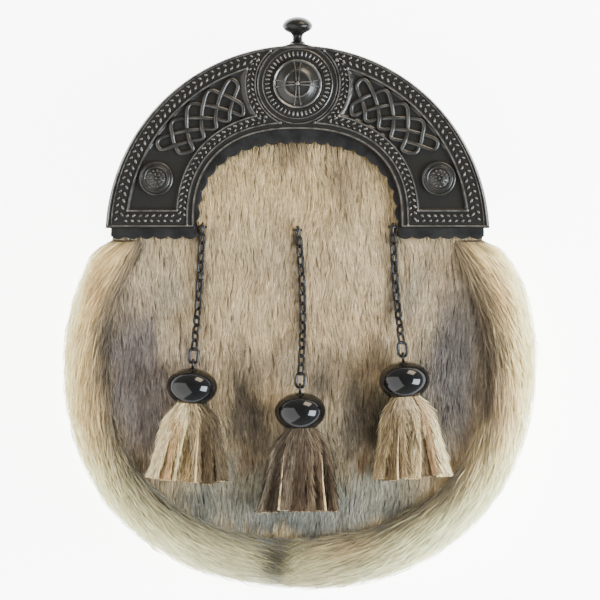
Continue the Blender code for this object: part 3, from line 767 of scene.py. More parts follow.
# %% [markdown]
# Between each boss and the medallion lies a panel of interlaced knotwork. Its band follows a simple rule:
# on a grid of small squares it runs along the diagonals, turns back at every edge, and passes over and
# under by turns. Walking that rule gives the whole closed band, and a smooth curve through its points
# rounds the turns.

# %% Knotwork
KNOT_LONG, KNOT_WIDE = 10, 4
KNOT_FOOT = math.radians(30.5)  # where the panel ends, above the boss
KNOT_LEVEL = CANTLE_BACK + FIELD_LEVEL + 0.55
KNOT_HIGH = 0.5  # how far the band rises and dips at a crossing
KNOT_MARGIN = 0.03  # share of the panel's width that stays free on each side


def knot_paths():
    """Closed walks over the grid as lists of (long, wide, height) points."""
    unused = {(x, 0) for x in range(1, KNOT_LONG, 2)}
    paths = []
    while unused:
        x, y = start = min(unused)
        step_x, step_y = 1, 1
        path = []
        while not path or (x, y) != start:
            unused.discard((x, y))
            at_side, at_end = y in (0, KNOT_WIDE), x in (0, KNOT_LONG)
            height = 0 if at_side or at_end else 1 if (step_x == step_y) == (x % 2 == 0) else -1
            inset_x, inset_y = (0.25 if at_end else 0.0), (0.1 if at_side else 0.0)
            path.append((x + inset_x * (1 if x == 0 else -1), y + inset_y * (1 if y == 0 else -1), height))
            x, y = x + step_x, y + step_y
            step_x = -step_x if x in (0, KNOT_LONG) else step_x
            step_y = -step_y if y in (0, KNOT_WIDE) else step_y
        paths.append(path)
    return paths


def smooth_loop(points, parts):
    """A rounded closed curve through the points (Catmull and Rom's rule)."""
    points = np.array(points, float)
    share = (np.arange(parts) / parts)[:, None, None]
    before, after, later = np.roll(points, 1, 0), np.roll(points, -1, 0), np.roll(points, -2, 0)
    curve = 0.5 * (
        2 * points + (after - before) * share + (2 * before - 5 * points + 4 * after - later) * share**2
        + (3 * points - 3 * after + later - before) * share**3
    )
    return curve.transpose(1, 0, 2).reshape(-1, 3)


def knot_place(long, wide):
    """A point of the grid in its place between the borders, in the right half of the cantle."""
    share = blend(KNOT_MARGIN, 1 - KNOT_MARGIN, wide / KNOT_WIDE)

    def across(turn):
        return arch_point(turn, ARCH_BORDER + 0.5).lerp(rim_point(turn, RIM_BORDER + 0.5), share)

    low, high = KNOT_FOOT, math.pi / 2
    for _ in range(24):  # halves the angle to find where the medallion's border cuts the panel off
        middle = (low + high) / 2
        clear = edge_distances(*across(middle))[3] > MEDALLION_BORDER + 1.3
        low, high = (middle, high) if clear else (low, middle)
    return across(blend(KNOT_FOOT, low, long / KNOT_LONG))


for path in knot_paths():
    band = [(*knot_place(long, wide), height) for long, wide, height in smooth_loop(path, 6)]
    for side in (1, -1):
        route = [(side * x, y, KNOT_LEVEL + KNOT_HIGH * height) for x, y, height in band]
        sweep(cantle, route, 0.95, sides=8, around=True, flat=0.9)
print(f"{len(knot_paths())} closed bands of knotwork on each side, {len(cantle.faces)} faces")

# %% [markdown]
# The medallion and the two bosses were turned before they were cast, so a spun profile makes them. The
# medallion has a ring of short ribs and a ring cross on its dome. The cross is drawn with raised lines,
# because that is how the casting shows it. A boss carries rings of small pellets.

# %% Medallion
MEDALLION = (
    # radius, height above the back of the plate
    (0.0, 5.45), (1.6, 5.4), (3.2, 5.15), (4.9, 4.75), (5.3, 4.8), (5.6, 5.1), (5.95, 5.05), (6.3, 4.6),
    (7.4, 4.2), (8.6, 3.8), (9.2, 3.65), (9.7, 3.8), (10.1, 4.1), (10.45, 3.95), (10.65, 3.1), (10.8, 2.3),
    (11.0, 2.55), (11.2, 2.65), (11.35, 2.3), (11.5, 1.9), (14.4, 1.9), (14.6, 2.4), (14.85, 2.75),
    (15.15, 2.7), (15.35, 2.4), (15.7, 2.2), (16.5, 2.25), (16.8, 2.6), (17.05, 3.0), (17.3, 2.95),
    (17.5, 2.5), (17.5, 0.4), (0.0, 0.4),
)
RIB_RADIUS, RIB_COUNT = 12.95, 44
ARM_FROM, ARM_TO = 1.2, 9.2  # where the cross's arms start and end


def dome_level(radius, profile):
    """Height of a turned profile at a distance from its middle."""
    known = [point for point in profile if point[1] > 0.5]
    return float(np.interp(radius, *zip(*known)))


def place_ring(radius, count, x, y, z):
    """Places round a circle, each turned outwards."""
    return [flat_place(*on_circle(radius, turn, x, y), z, turn) for turn in even_turns(count)]


turned(cantle, MEDALLION, 72, Matrix.Translation((0, MEDALLION_Y, CANTLE_BACK)))
scatter(cantle, bead(1.55, 0.6, 0.95), place_ring(RIB_RADIUS, RIB_COUNT, 0, MEDALLION_Y, CANTLE_BACK + 2.1))
for turn in even_turns(4):
    for side in (-1, 1):
        line = []
        for share in np.linspace(0, 1, 7):
            offset = Vector((blend(ARM_FROM, ARM_TO, share), side * blend(0.55, 1.5, share**2)))
            at = Matrix.Rotation(turn, 2) @ offset
            line.append((at.x, MEDALLION_Y + at.y, CANTLE_BACK + dome_level(at.length, MEDALLION) + 0.2))
        sweep(cantle, line, 0.36)
scatter(cantle, bead(1.1, 1.1, 0.7), [flat_place(0, MEDALLION_Y, CANTLE_BACK + 5.4)])

# %% Bosses
BOSS = (
    (0.0, 4.3), (1.2, 4.25), (2.4, 4.0), (3.5, 3.6), (4.2, 3.2), (4.5, 3.2), (4.8, 3.6), (5.1, 3.65),
    (5.4, 3.2), (5.8, 2.7), (6.3, 2.65), (6.6, 2.9), (6.85, 3.2), (7.15, 3.1), (7.4, 2.6), (7.4, 0.4),
    (0.0, 0.4),
)
PELLET_RINGS = ((0.0, 1), (1.8, 7), (3.4, 13))  # radius and count
for x in (-BOSS_X, BOSS_X):
    turned(cantle, BOSS, 48, Matrix.Translation((x, BOSS_Y, CANTLE_BACK)))
    for radius, count in PELLET_RINGS:
        level = CANTLE_BACK + dome_level(radius, BOSS) + 0.1
        scatter(cantle, bead(0.7, 0.62, 0.6), place_ring(radius, count, x, BOSS_Y, level))
print(f"medallion, bosses and the rest: {len(cantle.faces)} faces")

# %% Wear of the cantle
UNDER_MEDALLION = ((0.0, 5.4), (4.9, 4.8), (6.3, 4.65), (9.2, 3.7), (10.6, 3.2), (10.9, 2.3), (17.5, 2.4))
UNDER_BOSS = ((0.0, 4.0), (3.4, 3.3), (4.8, 2.7), (6.0, 2.5), (7.4, 2.5))
FIELD_WEAR = 0.18  # the knotwork and the bosses lie deeper than the borders and are rubbed less


def smooth_level(x, y):
    """Level of the smooth metal that the relief stands on."""
    level = plate_level(x, y)
    rows = ((0.0, MEDALLION_Y, UNDER_MEDALLION), (BOSS_X, BOSS_Y, UNDER_BOSS), (-BOSS_X, BOSS_Y, UNDER_BOSS))
    for middle_x, middle_y, profile in rows:
        away = np.hypot(x - middle_x, y - middle_y)
        radii, levels = zip(*profile)
        level = np.where(away < radii[-1], np.interp(away, radii, levels), level)
    return level


casting = finish_piece("cantle_casting", cantle, cantle_finish, "dark_metal", "cantle", sharp=50)
x, y, z = points_of(casting)
relief = z - CANTLE_BACK - smooth_level(x, y)
in_field = plate_level(x, y) < BORDER_LEVEL - 0.3
paint(casting.data, "wear", smooth_step((relief - 0.12) / 0.5) * np.where(in_field, FIELD_WEAR, 1.0))
print(f"relief up to {relief.max():.1f} mm over the smooth metal")

# %% [markdown]
# ## The knob
#
# The knob on the rim is a small turned mushroom. Its profile has a few more points than the plain solid, so
# that the neck and the rolled foot read as turned metal, and it is laid over so that its axis points up the
# pouch.

# %% Knob
KNOB = (
    (0.0, 12.25), (1.7, 12.15), (3.3, 11.75), (4.7, 11.0), (5.8, 10.0), (6.4, 9.0), (6.55, 8.4), (6.4, 7.6),
    (5.8, 6.7), (4.8, 6.0), (3.5, 5.45), (2.7, 4.9), (2.3, 4.2), (2.1, 3.3), (2.15, 2.3), (2.4, 1.7),
    (2.9, 1.5), (3.2, 1.25), (3.15, 0.95), (3.5, 0.75), (3.7, 0.4), (3.6, 0.05), (0.0, 0.0),
)
knob_low, knob_high = box("knob")
knob = bmesh.new()
foot = Matrix.Translation((0, knob_low.y, (knob_low.z + knob_high.z) / 2))
turned(knob, KNOB, 48, foot @ Matrix.Rotation(-math.pi / 2, 4, "X"))
knob = finish_piece("knob_turning", knob, turned_finish, "dark_metal", "knob", sharp=50)
wear_upwards(knob, knob_low.z + 4, knob_high.z)

# %% [markdown]
# ## Leather
#
# All the leather is cut from flat sheets, so one helper serves it: fill an outline, with a hole where there
# is one, extrude the face by the leather's thickness and round the cut edges with a bevel. The scallops
# under the cantle are part of the outline, because they show against the pale hide.

# %% Cutting a sheet of leather


def leather_piece(name, node, outlines, low, thickness, rounding, finish=back_finish, place=Matrix()):
    """A sheet cut to closed outlines of (x, y) points. An outline inside another is a hole."""
    bm = bmesh.new()
    edges = []
    for outline in outlines:
        ring = [bm.verts.new((*at, low)) for at in outline]
        edges += [bm.edges.new(pair) for pair in zip(ring, ring[1:] + ring[:1])]
    bmesh.ops.triangle_fill(bm, use_beauty=True, use_dissolve=False, edges=edges)
    grown = bmesh.ops.extrude_face_region(bm, geom=bm.faces[:])["geom"]
    lifted = [item for item in grown if isinstance(item, bmesh.types.BMVert)]
    bmesh.ops.translate(bm, vec=(0, 0, thickness), verts=lifted)
    bmesh.ops.recalc_face_normals(bm, faces=bm.faces)
    rims = [
        edge for edge in bm.edges
        if len(edge.link_faces) == 2 and edge.calc_face_angle() > math.radians(60)
        and abs(edge.verts[0].co.z - edge.verts[1].co.z) < 0.01
    ]
    bmesh.ops.bevel(
        bm, geom=rims, offset=rounding, offset_type="OFFSET", affect="EDGES", segments=3, profile=0.5,
        material=-1,
    )
    bmesh.ops.transform(bm, matrix=place, verts=bm.verts)
    bmesh.ops.recalc_face_normals(bm, faces=bm.faces)
    finish_piece(name, bm, finish, "leather", node)


def arc(radius, start, end, steps, x=0.0, y=CENTRE_Y):
    """Points along a part of a circle, both ends included."""
    return [on_circle(radius, blend(start, end, k / steps), x, y) for k in range(steps + 1)]


def half_width_at(y):
    """Half width of the pouch at a height."""
    side = blend(WAIST_HALF_WIDTH, TOP_RADIUS, smooth_step((y - WAIST_Y) / (CENTRE_Y - WAIST_Y)))
    drop = np.clip((WAIST_Y - y) / BOTTOM_DROP, 0, 1)
    return np.where(y < WAIST_Y, WAIST_HALF_WIDTH * (1 - drop**BOTTOM_POWER) ** (1 / BOTTOM_POWER), side)


def seam_outline(steps_side, steps_below):
    """The pouch's right edge from the cantle's leg down to the middle of the bottom."""
    points = []
    for k in range(steps_side):
        y = blend(CENTRE_Y, WAIST_Y, k / steps_side)
        points.append(Vector((half_width_at(y), y)))
    for k in range(steps_below + 1):
        turn = math.pi / 2 * k / steps_below
        x = WAIST_HALF_WIDTH * max(math.cos(turn), 0.0) ** (2 / BOTTOM_POWER)
        points.append(Vector((x, WAIST_Y - BOTTOM_DROP * math.sin(turn) ** (2 / BOTTOM_POWER))))
    return points


def pouch_outline(inset=0.0):
    """The whole closed edge of the pouch, anticlockwise, moved inwards by inset."""
    right = seam_outline(20, 44)[1:]
    edge = arc(TOP_RADIUS, 0, math.pi, 60) + [Vector((-at.x, at.y)) for at in right[:-1]] + right[::-1]
    moved = []
    for k, at in enumerate(edge):
        along = (edge[(k + 1) % len(edge)] - edge[k - 1]).normalized()
        moved.append(at + Vector((-along.y, along.x)) * inset)
    return moved


def rounded_box(half_width, low, high, radius, steps=9):
    x, top, bottom = half_width - radius, high - radius, low + radius
    points = []
    for corner, turn in zip(((x, top), (-x, top), (-x, bottom), (x, bottom)), even_turns(4)):
        points += arc(radius, turn, turn + math.pi / 2, steps, *corner)
    return points


# %% [markdown]
# Stitches are what makes leather read as sewn. Each is a short waxed thread that lies in a slight slant
# between two holes. They are one small shape, scattered along a route by array arithmetic.

# %% Stitches
STITCH_PITCH, STITCH_SLANT = 3.4, math.radians(12)
STITCH_LENGTH, STITCH_WIDTH, STITCH_HEIGHT = 1.25, 0.36, 0.3  # half of each


def stitches(bm, route, level, pitch=STITCH_PITCH, closed=True):
    """A row of stitches along a route of (x, y) points, at one level."""
    route = list(route) + ([route[0]] if closed else [])
    places = [flat_place(x, y, level, turn + STITCH_SLANT) for x, y, turn in zip(*stations(route, pitch))]
    scatter(bm, bead(STITCH_LENGTH, STITCH_WIDTH, STITCH_HEIGHT, 1), places)
    return len(places)


# %% The scalloped backing under the cantle
SCALLOP_PITCH, SCALLOP_DEPTH, SCALLOP_STEPS = 6.2, 1.3, 8
BACKING_ARCH = 43.4, 34.6  # half width and height of its opening
backing_low = box("cantle_backing")[0]
outer = CANTLE_RADIUS - 2.0 - GAP
foot_y = backing_low.y + SCALLOP_DEPTH
corner = Vector((BACKING_ARCH[0], foot_y))
low_turn = math.asin((foot_y - CENTRE_Y) / outer)


def scallops(route, count):
    """A row of half-round lobes out of a route, which gives a point and a direction for a share."""
    made = []
    for share in np.arange(count * SCALLOP_STEPS + 1) / (count * SCALLOP_STEPS):
        at, outward = route(share)
        made.append(at + outward * SCALLOP_DEPTH * abs(math.sin(math.pi * count * share)) ** 0.8)
    return made


def arch_lobes(share):
    direction = on_circle(1.0, math.pi * share)
    size = arch_sum(*direction, *BACKING_ARCH)
    return Vector((0, ARCH_CENTRE_Y)) + direction * size ** (-1 / ARCH_POWER), -direction


def leg_lobes(share):
    return Vector((blend(outer * math.cos(low_turn), corner.x, share), foot_y)), Vector((0, -1))


leg_count = round((outer * math.cos(low_turn) - corner.x) / SCALLOP_PITCH)
arch_count = round(math.pi * sum(BACKING_ARCH) / 2 * 1.04 / SCALLOP_PITCH)
leg = scallops(leg_lobes, leg_count)[1:-1]
outline = arc(outer, low_turn, math.pi - low_turn, 96) + [Vector((-at.x, at.y)) for at in (*leg, corner)]
outline += scallops(arch_lobes, arch_count)[::-1] + [corner] + leg[::-1]
leather_piece("scalloped_backing", "cantle_backing", [outline], backing_low.z, LEATHER, 0.35, backing_finish)

# %% [markdown]
# The back of the pouch doesn't show in the photograph, so it is plain good work: a leather back with its
# mouth, a flap with a stud, two bridges for the waist strap and a wall round the top, all sewn along their
# edges.

# %% Back panel with its mouth
MOUTH = (36.0, 22.0, 76.0, 10.0)  # half width, low, high and corner radius
THREAD_RISE = 0.03  # how far the middle of a stitch stands off the leather
SEAM_INSET, HEM = 4.0, 3.0  # how far the stitches lie from the edge, round the panel and round a hem


def grown_box(half_width, low, high, radius, by):
    return rounded_box(half_width + by, low - by, high + by, radius + by)


cuts = [pouch_outline(0.1), rounded_box(*MOUTH)]
leather_piece("back_leather", "back_panel", cuts, BACK_FACE, LEATHER, 0.4)
thread = bmesh.new()
count = stitches(thread, pouch_outline(SEAM_INSET), BACK_FACE - THREAD_RISE)
count += stitches(thread, grown_box(*MOUTH, HEM), BACK_INSIDE + THREAD_RISE)
print(f"{count} stitches on the back panel")

# %% Flap and stud
STUD = (
    (0.0, 1.6), (3.9, 1.6), (4.5, 1.5), (4.95, 1.15), (4.7, 0.75), (4.1, 0.5), (3.5, 0.3), (3.2, 0.32),
    (2.9, 0.2), (1.5, 0.05), (0.0, 0.0),
)
flap_low, flap_high = box("back_flap")
FLAP = (flap_high.x, flap_low.y, flap_high.y, 13.0)
leather_piece("flap_leather", "back_flap", [rounded_box(*FLAP)], flap_low.z, LEATHER, 0.45)
stitches(thread, grown_box(*FLAP, -HEM), flap_low.z - THREAD_RISE)
hinge = [Vector((x, flap_high.y - 7.0)) for x in np.linspace(flap_high.x - 6, 6 - flap_high.x, 30)]
stitches(thread, hinge, flap_low.z - THREAD_RISE, closed=False)
stud_low, stud_high = box("flap_stud")
stud = bmesh.new()
turned(stud, STUD, 40, Matrix.Translation((0, (stud_low.y + stud_high.y) / 2, stud_low.z)))
stud = finish_piece("stud_turning", stud, turned_finish, "dark_metal", "flap_stud", sharp=50)
wear_upwards(stud, stud_high.z, stud_low.z)

# %% Strap bridges
BRIDGE_LEATHER, BRIDGE_SLOT, BRIDGE_FOOT = 1.8, 11.0, 8.0
INNER_BEND, OUTER_BEND = 1.5, 2.2


def bridge_outline(lift):
    """The bridge's outline seen from the side, as (along, height) points with rounded shoulders."""
    outside = BRIDGE_SLOT + BRIDGE_LEATHER
    end = outside + BRIDGE_FOOT
    half = arc(INNER_BEND, -math.pi / 2, 0, 5, BRIDGE_SLOT - INNER_BEND, BRIDGE_LEATHER + INNER_BEND)
    half += [(BRIDGE_SLOT, lift), (end, lift), (end, lift - BRIDGE_LEATHER), (outside, lift - BRIDGE_LEATHER)]
    half += arc(OUTER_BEND, 0, -math.pi / 2, 5, outside - OUTER_BEND, OUTER_BEND)
    return half + [(-along, height) for along, height in half[::-1]]


for where in ("left", "right"):
    low, high = box(f"strap_loop_{where}")
    x, y = (low.x + high.x) / 2, (low.y + high.y) / 2
    width = high.x - low.x
    leather_piece(
        f"strap_bridge_{where}", f"strap_loop_{where}", [bridge_outline(high.z)], -width / 2, width, 0.4,
        place=Matrix(((0, 0, 1, x), (1, 0, 0, y), (0, 1, 0, 0), (0, 0, 0, 1))),
    )
    foot = BRIDGE_SLOT + BRIDGE_LEATHER + BRIDGE_FOOT / 2
    for middle in (y - foot, y + foot):
        box_stitch = [(x + a, middle + b) for a, b in ((-4.4, -2.6), (4.4, -2.6), (4.4, 2.6), (-4.4, 2.6))]
        stitches(thread, box_stitch, high.z - BRIDGE_LEATHER - THREAD_RISE, pitch=2.6)

# %% Wall round the top
WALL_FOOT_Y = 26.3
wall_low, wall_high = box("top_gusset")
reach = math.asin((WALL_FOOT_Y - CENTRE_Y) / TOP_RADIUS)
outer_arc, inner_arc = (arc(wall_high.x - inset, reach, math.pi - reach, 90) for inset in (0.0, LEATHER))
wall_edge = outer_arc + inner_arc[::-1]
leather_piece("top_wall", "top_gusset", [wall_edge], wall_low.z, wall_high.z - wall_low.z, 0.4)
count = round(math.pi * wall_high.x / STITCH_PITCH)
upright_stitches = [
    flat_place(*on_circle(wall_high.x, turn, 0, CENTRE_Y), level, turn + math.pi / 2)
    @ Matrix.Rotation(STITCH_SLANT, 4, "Y")
    for level in (wall_low.z + 3.0, wall_high.z - 3.0) for turn in even_turns(2 * count)[1:count]
]
scatter(thread, bead(STITCH_LENGTH, STITCH_HEIGHT, STITCH_WIDTH, 1), upright_stitches)
finish_piece("thread", thread, thread_finish, "leather")

# %% [markdown]
# ## Hair
#
# Most of this object is hair, and hair is made of strands: nothing painted on a surface gives the same soft
# edge or the same streaks. A particle system would not be part of the model, so each strand is a narrow
# tapered blade of two or three faces, and thousands of them are joined in one mesh. Their points come from
# arrays, which keeps the making of a hundred thousand strands down to seconds. Everything random comes from
# seeded generators.

# %% Colours and slow noise
WANDER_START = 97.3  # keeps the pouch's middle off the lattice's own points


def wander(points, size, seed, stretch=(1.0, 1.0, 1.0)):
    """Smooth noise from -1 to 1 over points in millimetres, with features of about one size."""
    lattice = np.random.default_rng(seed).uniform(-1, 1, (32, 32, 32))
    at = np.asarray(points) / (size * np.array(stretch)) + WANDER_START
    cell = np.floor(at).astype(int)
    part = smooth_step(at - cell)
    total = 0.0
    for corner in np.ndindex(2, 2, 2):
        weight = np.prod(np.where(corner, part, 1 - part), axis=-1)
        total = total + weight * lattice[tuple(np.moveaxis((cell + corner) % 32, -1, 0))]
    return total


def ramp(share, stops):
    """Colours along a share from 0 to 1, from rows of (share, (red, green, blue) as seen)."""
    places = [place for place, _ in stops]
    colours = np.array([seen(*colour) for _, colour in stops])
    return np.stack([np.interp(share, places, channel) for channel in colours.T], axis=-1)


def add_patches(colour, x, y, patches, reach, shift=(0.0, 0.0)):
    """Blends soft oval patches into the colours at x and y. shift makes the edges of the wide ones ragged."""
    for middle_x, middle_y, half_width, half_height, turn, patch, strength in patches:
        ragged = min(half_width / 9, 1.0)
        dx, dy = x + ragged * shift[0] - middle_x, y + ragged * shift[1] - middle_y
        a = math.radians(turn)
        across, along = dx * math.cos(a) + dy * math.sin(a), dy * math.cos(a) - dx * math.sin(a)
        inside = strength * smooth_step(reach - np.hypot(across / half_width, along / half_height))
        colour += (np.array(seen(*patch)) - colour) * inside[..., None]
    return colour


# %% Strands as one mesh
SHORT_WIDTHS, LONG_WIDTHS = (0.36, 0.32), (0.42, 0.4, 0.3)  # of a blade at its root and further on


def unit(vectors):
    return vectors / np.maximum(np.linalg.norm(vectors, axis=-1, keepdims=True), 1e-9)


def blade_sides(along, normals, twist):
    """Unit vectors across each blade: flat on the surface, then turned about the strand by twist."""
    flat = unit(np.cross(along, normals))
    return flat * np.cos(twist)[:, None] + np.cross(along, flat) * np.sin(twist)[:, None]


def strand_tints(base, gradient, shade, most=0.95):
    """Colours from root to tip, from a base, a factor for each station and a shade for each strand. The
    factors darken a strand at its root, as painted shade deep in the hair, and lighten it towards the tip.
    """
    return np.clip(np.atleast_2d(base)[:, None] * np.array(gradient)[:, None] * shade[:, None, None], 0, most)


def pick_locks(table, row, column):
    """The values of the lock that each strand belongs to."""
    return table[:, row.astype(int) % 128, column.astype(int) % 128]


def strand_mesh(name, paths, across, widths, tints, finish, slot):
    """Tapered blades, joined. paths and tints are (strands, stations, 3), across is (strands, 3) and widths
    is (strands, stations - 1). The last station is each blade's tip."""
    count, steps = paths.shape[:2]
    half = across[:, None, :] * widths[..., None] / 2
    pairs = np.stack((paths[:, :-1] - half, paths[:, :-1] + half), axis=2).reshape(count, -1, 3)
    verts = np.concatenate((pairs, paths[:, -1:]), axis=1)
    tint = np.concatenate((np.repeat(tints[:, :-1], 2, axis=1), tints[:, -1:]), axis=1)
    per = verts.shape[1]
    faces = [[2 * k, 2 * k + 1, 2 * k + 3, 2 * k + 2] for k in range(steps - 2)]
    faces.append([per - 3, per - 2, per - 1])
    corners = np.concatenate(faces)
    starts = np.cumsum([0] + [len(face) for face in faces[:-1]])
    blades = np.arange(count)[:, None]
    mesh = bpy.data.meshes.new(name)
    mesh.vertices.add(count * per)
    mesh.vertices.foreach_set("co", (verts * MM).astype(np.float32).ravel())
    mesh.loops.add(count * len(corners))
    mesh.loops.foreach_set("vertex_index", (corners + blades * per).astype(np.int32).ravel())
    mesh.polygons.add(count * len(starts))
    mesh.polygons.foreach_set("loop_start", (starts + blades * len(corners)).astype(np.int32).ravel())
    mesh.update(calc_edges=True)
    paint(mesh, "tint", tint.reshape(-1, 3))
    mesh.shade_smooth()
    return settle(name, mesh, finish, slot)


# %% [markdown]
# ### The hide front
#
# The front is a short-haired hide whose pile runs straight down. It is fawn in the middle and mauve-grey at
# the sides, brown round the tassels and silver at the bottom. These patches are described one by one, with
# soft edges that slow noise breaks up, and painted shadow lies beside each chain. The skin under the pile is
# painted by the same rule, only a bit darker, as painted shade under the pile.

# %% Colours of the hide
FAWN, CREAM, MAUVE, TAN = (204, 186, 152), (222, 206, 170), (146, 139, 132), (158, 126, 94)
BROWN, SILVER, UMBER, SLATE = (121, 114, 100), (156, 158, 150), (144, 124, 102), (110, 114, 112)
# Painted shadow beside each chain, and painted shade in the parting where each staple enters
SHADOW, STAPLE_SHADE = (140, 128, 108), (66, 56, 50)  # beside a chain, and where a staple enters
HIDE_PATCHES = (
    # middle x and y, half width and height, turn in degrees, colour, strength
    (-69, -34, 22, 50, 6, MAUVE, 0.95),
    (67, -28, 22, 50, -6, (127, 122, 116), 0.95),
    (-45, -30, 9, 20, 0, (146, 134, 120), 0.7),
    (-68, -50, 10, 20, 0, (160, 152, 142), 0.6),
    (60, 14, 17, 12, 28, UMBER, 0.15),
    (-60, 8, 18, 15, -20, CREAM, 0.3),
    (48, 4, 11, 15, 0, (170, 162, 142), 0.65),
    (-57, 5, 11, 15, 0, (168, 160, 140), 0.65),
    (-70, 22, 9, 13, 0, (170, 161, 140), 0.6),
    (0, -85, 64, 18, 0, (168, 165, 149), 0.8),
    (36, -22, 8, 12, 0, (136, 122, 100), 0.75),
    (0, -2, 30, 24, 0, FAWN, 0.6),
    (22, 50, 9, 18, 8, (154, 140, 118), 0.75),
    (-3, 68, 8, 8, 0, (150, 134, 112), 0.8),
    (-5, 16, 9, 26, 0, (180, 166, 140), 0.55),
    (0, -26, 34, 10, 0, (156, 144, 124), 0.6),
    (-18, 40, 14, 20, 0, CREAM, 0.35),
    (28, 28, 14, 22, 0, CREAM, 0.35),
    (-21, -48, 12, 25, 8, BROWN, 0.95),
    (25, -46, 10, 25, -8, BROWN, 0.9),
    (10, -34, 9, 12, 0, (118, 110, 96), 0.8),
    (36, -52, 9, 21, -6, (94, 88, 72), 0.95),
    (2, -64, 24, 18, 0, BROWN, 0.7),
    (-21.5, -71.5, 6, 4, 0, TAN, 0.6),
    (28, -69, 3.5, 5, 0, TAN, 0.6),
    (-34, -74, 20, 9, -8, (176, 174, 160), 0.75),
    (36, -74, 20, 9, 8, (172, 171, 158), 0.75),
    (0, -90, 60, 13, 0, SILVER, 0.8),
    (-44, -86, 13, 7, -20, SLATE, 0.6),
    (42, -86, 13, 7, 20, SLATE, 0.6),
    (0, -98, 34, 5, 0, SLATE, 0.6),
    (-8, -84, 14, 6, 0, (158, 158, 146), 0.5),
    (-56, -18, 6, 16, 10, CREAM, 0.4),
    (56, -8, 6, 16, -10, CREAM, 0.4),
    (-41, 10, 4, 22, 4, SHADOW, 0.6),
    (1, 0, 3.6, 30, 0, SHADOW, 0.55),
    (42, 8, 4, 22, -2, SHADOW, 0.55),
    (-41, 29, 2.6, 4.6, 0, STAPLE_SHADE, 0.9),
    (0.2, 28, 2.4, 5.0, 0, STAPLE_SHADE, 0.9),
    (41, 29, 2.6, 4.6, 0, STAPLE_SHADE, 0.9),
)


def hide_colour(x, y):
    """Colour of the pile at a place of the front."""
    at = np.stack((x, y, np.zeros_like(x)), axis=-1)
    shift_x = 3.0 * wander(at, 9.0, 11) + 1.6 * wander(at, 2.2, 12, (1, 3.5, 1))
    shift_y = 5.0 * wander(at, 12.0, 13) + 5.0 * wander(at, 1.3, 14, (1, 6, 1))
    colour = np.tile(seen(*FAWN), (*x.shape, 1))
    add_patches(colour, x, y, HIDE_PATCHES, 1.25, (shift_x, shift_y))
    greyer = smooth_step((48 - y) / 30) * smooth_step((y + 78) / 18)  # the hide's middle is less yellow
    return colour * (1 + greyer[..., None] * np.array([0.0, 0.03, 0.15]))


# %% The skin under the pile
SKIN_DEPTH = 1.1  # how far the skin lies below the tips of the pile
hide = bmesh.new()
edge = pouch_outline(0.1)
middle = Vector((0.0, -10.0))
shares = (1.0, 0.94, 0.85, 0.72, 0.58, 0.44, 0.3, 0.16, 0.05)
rings = [[middle.lerp(at, share) for at in edge] for share in shares]
lower = [[(*at, FRONT_INSIDE) for at in ring] for ring in rings[::-1]]
upper = [[(*at, front_level(*at) - SKIN_DEPTH) for at in ring] for ring in rings]
loft(hide, lower + upper)
skin = finish_piece("hide_skin", hide, pile_finish, "hide", "front_panel")
x, y, _ = points_of(skin)
# Painted shade: the skin is darker than the pile, as shade under the hair
paint(skin.data, "tint", hide_colour(x, y) * 0.65)

# %% Where the pile grows, and its locks
PILE_SPACING, PILE_LENGTH = 0.6, 7.0
PILE_AREA = (-83, 83), (-104, 78)  # in x and in y
PILE_TOP_Y = 31.0  # above it the cantle covers the hide, except in its arch
LOCK_WIDTH, LOCK_LENGTH = 2.1, 5.0
rng = np.random.default_rng(1845)
grid = np.meshgrid(*(np.arange(*reach, PILE_SPACING) for reach in PILE_AREA))
x, y = ((axis + rng.uniform(-0.5, 0.5, axis.shape) * PILE_SPACING).ravel() for axis in grid)
in_arch = arch_sum(x, y - ARCH_CENTRE_Y, ARCH_HALF_WIDTH + 1, ARCH_HEIGHT - 3) < 1
shown = (np.abs(x) < half_width_at(y) - 0.8) & ((y < PILE_TOP_Y) | in_arch)
x, y = x[shown], y[shown]
count = len(x)
place = np.stack((x, y, 0 * x), -1)
bent_x = x + 1.8 * wander(place, 4.0, 21)
lock_x = np.floor(bent_x / LOCK_WIDTH)
lock_y = np.floor((y + 3.0 * wander(place, 5.0, 22) + 2.5 * (lock_x % 2)) / LOCK_LENGTH)
lock_table = np.random.default_rng(5).uniform(-1, 1, (4, 128, 128))
lock_lean, lock_shade, lock_lift, lock_reach = pick_locks(lock_table, lock_x, lock_y)
off_middle = bent_x / LOCK_WIDTH - lock_x - 0.5  # from -0.5 to 0.5 across a lock
print(f"{count} strands of pile")

# %% The pile
lean = 8 * wander(place, 14.0, 23) + 9 * wander(place, 4.0, 24) + 7 * lock_lean + rng.normal(0, 6, count)
lean = np.radians(lean - 10 * np.clip(x / 80, -1, 1) * smooth_step((-60 - y) / 40))
length = PILE_LENGTH * (1 + 0.18 * lock_reach + rng.uniform(-0.25, 0.2, count))
lift = 0.35 + 0.3 * lock_lift + rng.uniform(-0.2, 0.35, count)
paths = np.zeros((count, 3, 3))
for k, (share, rise) in enumerate(((0.0, -0.15), (0.45, 0.75), (1.0, 1.0))):
    gather = -0.6 * off_middle * LOCK_WIDTH * share
    paths[:, k, 0] = x + length * share * np.sin(lean * (0.5 + 0.5 * share)) + gather
    paths[:, k, 1] = y - length * share * np.cos(lean)
    skin_level = front_level(paths[:, k, 0], paths[:, k, 1]) - SKIN_DEPTH
    paths[:, k, 2] = skin_level + rise * (SKIN_DEPTH + lift) * 0.85
across = blade_sides(unit(paths[:, 2] - paths[:, 0]), np.array([UP]), rng.normal(0, 0.5, count))
widths = np.array(SHORT_WIDTHS) * rng.uniform(0.75, 1.2, (count, 1))
shade = 1 + 0.16 * lock_shade + rng.normal(0, 0.13, count) + 0.1 * wander(place, 1.4, 26, (1, 7, 1))
shade += 0.12 * wander(place, 4.5, 27, (1, 2, 1))
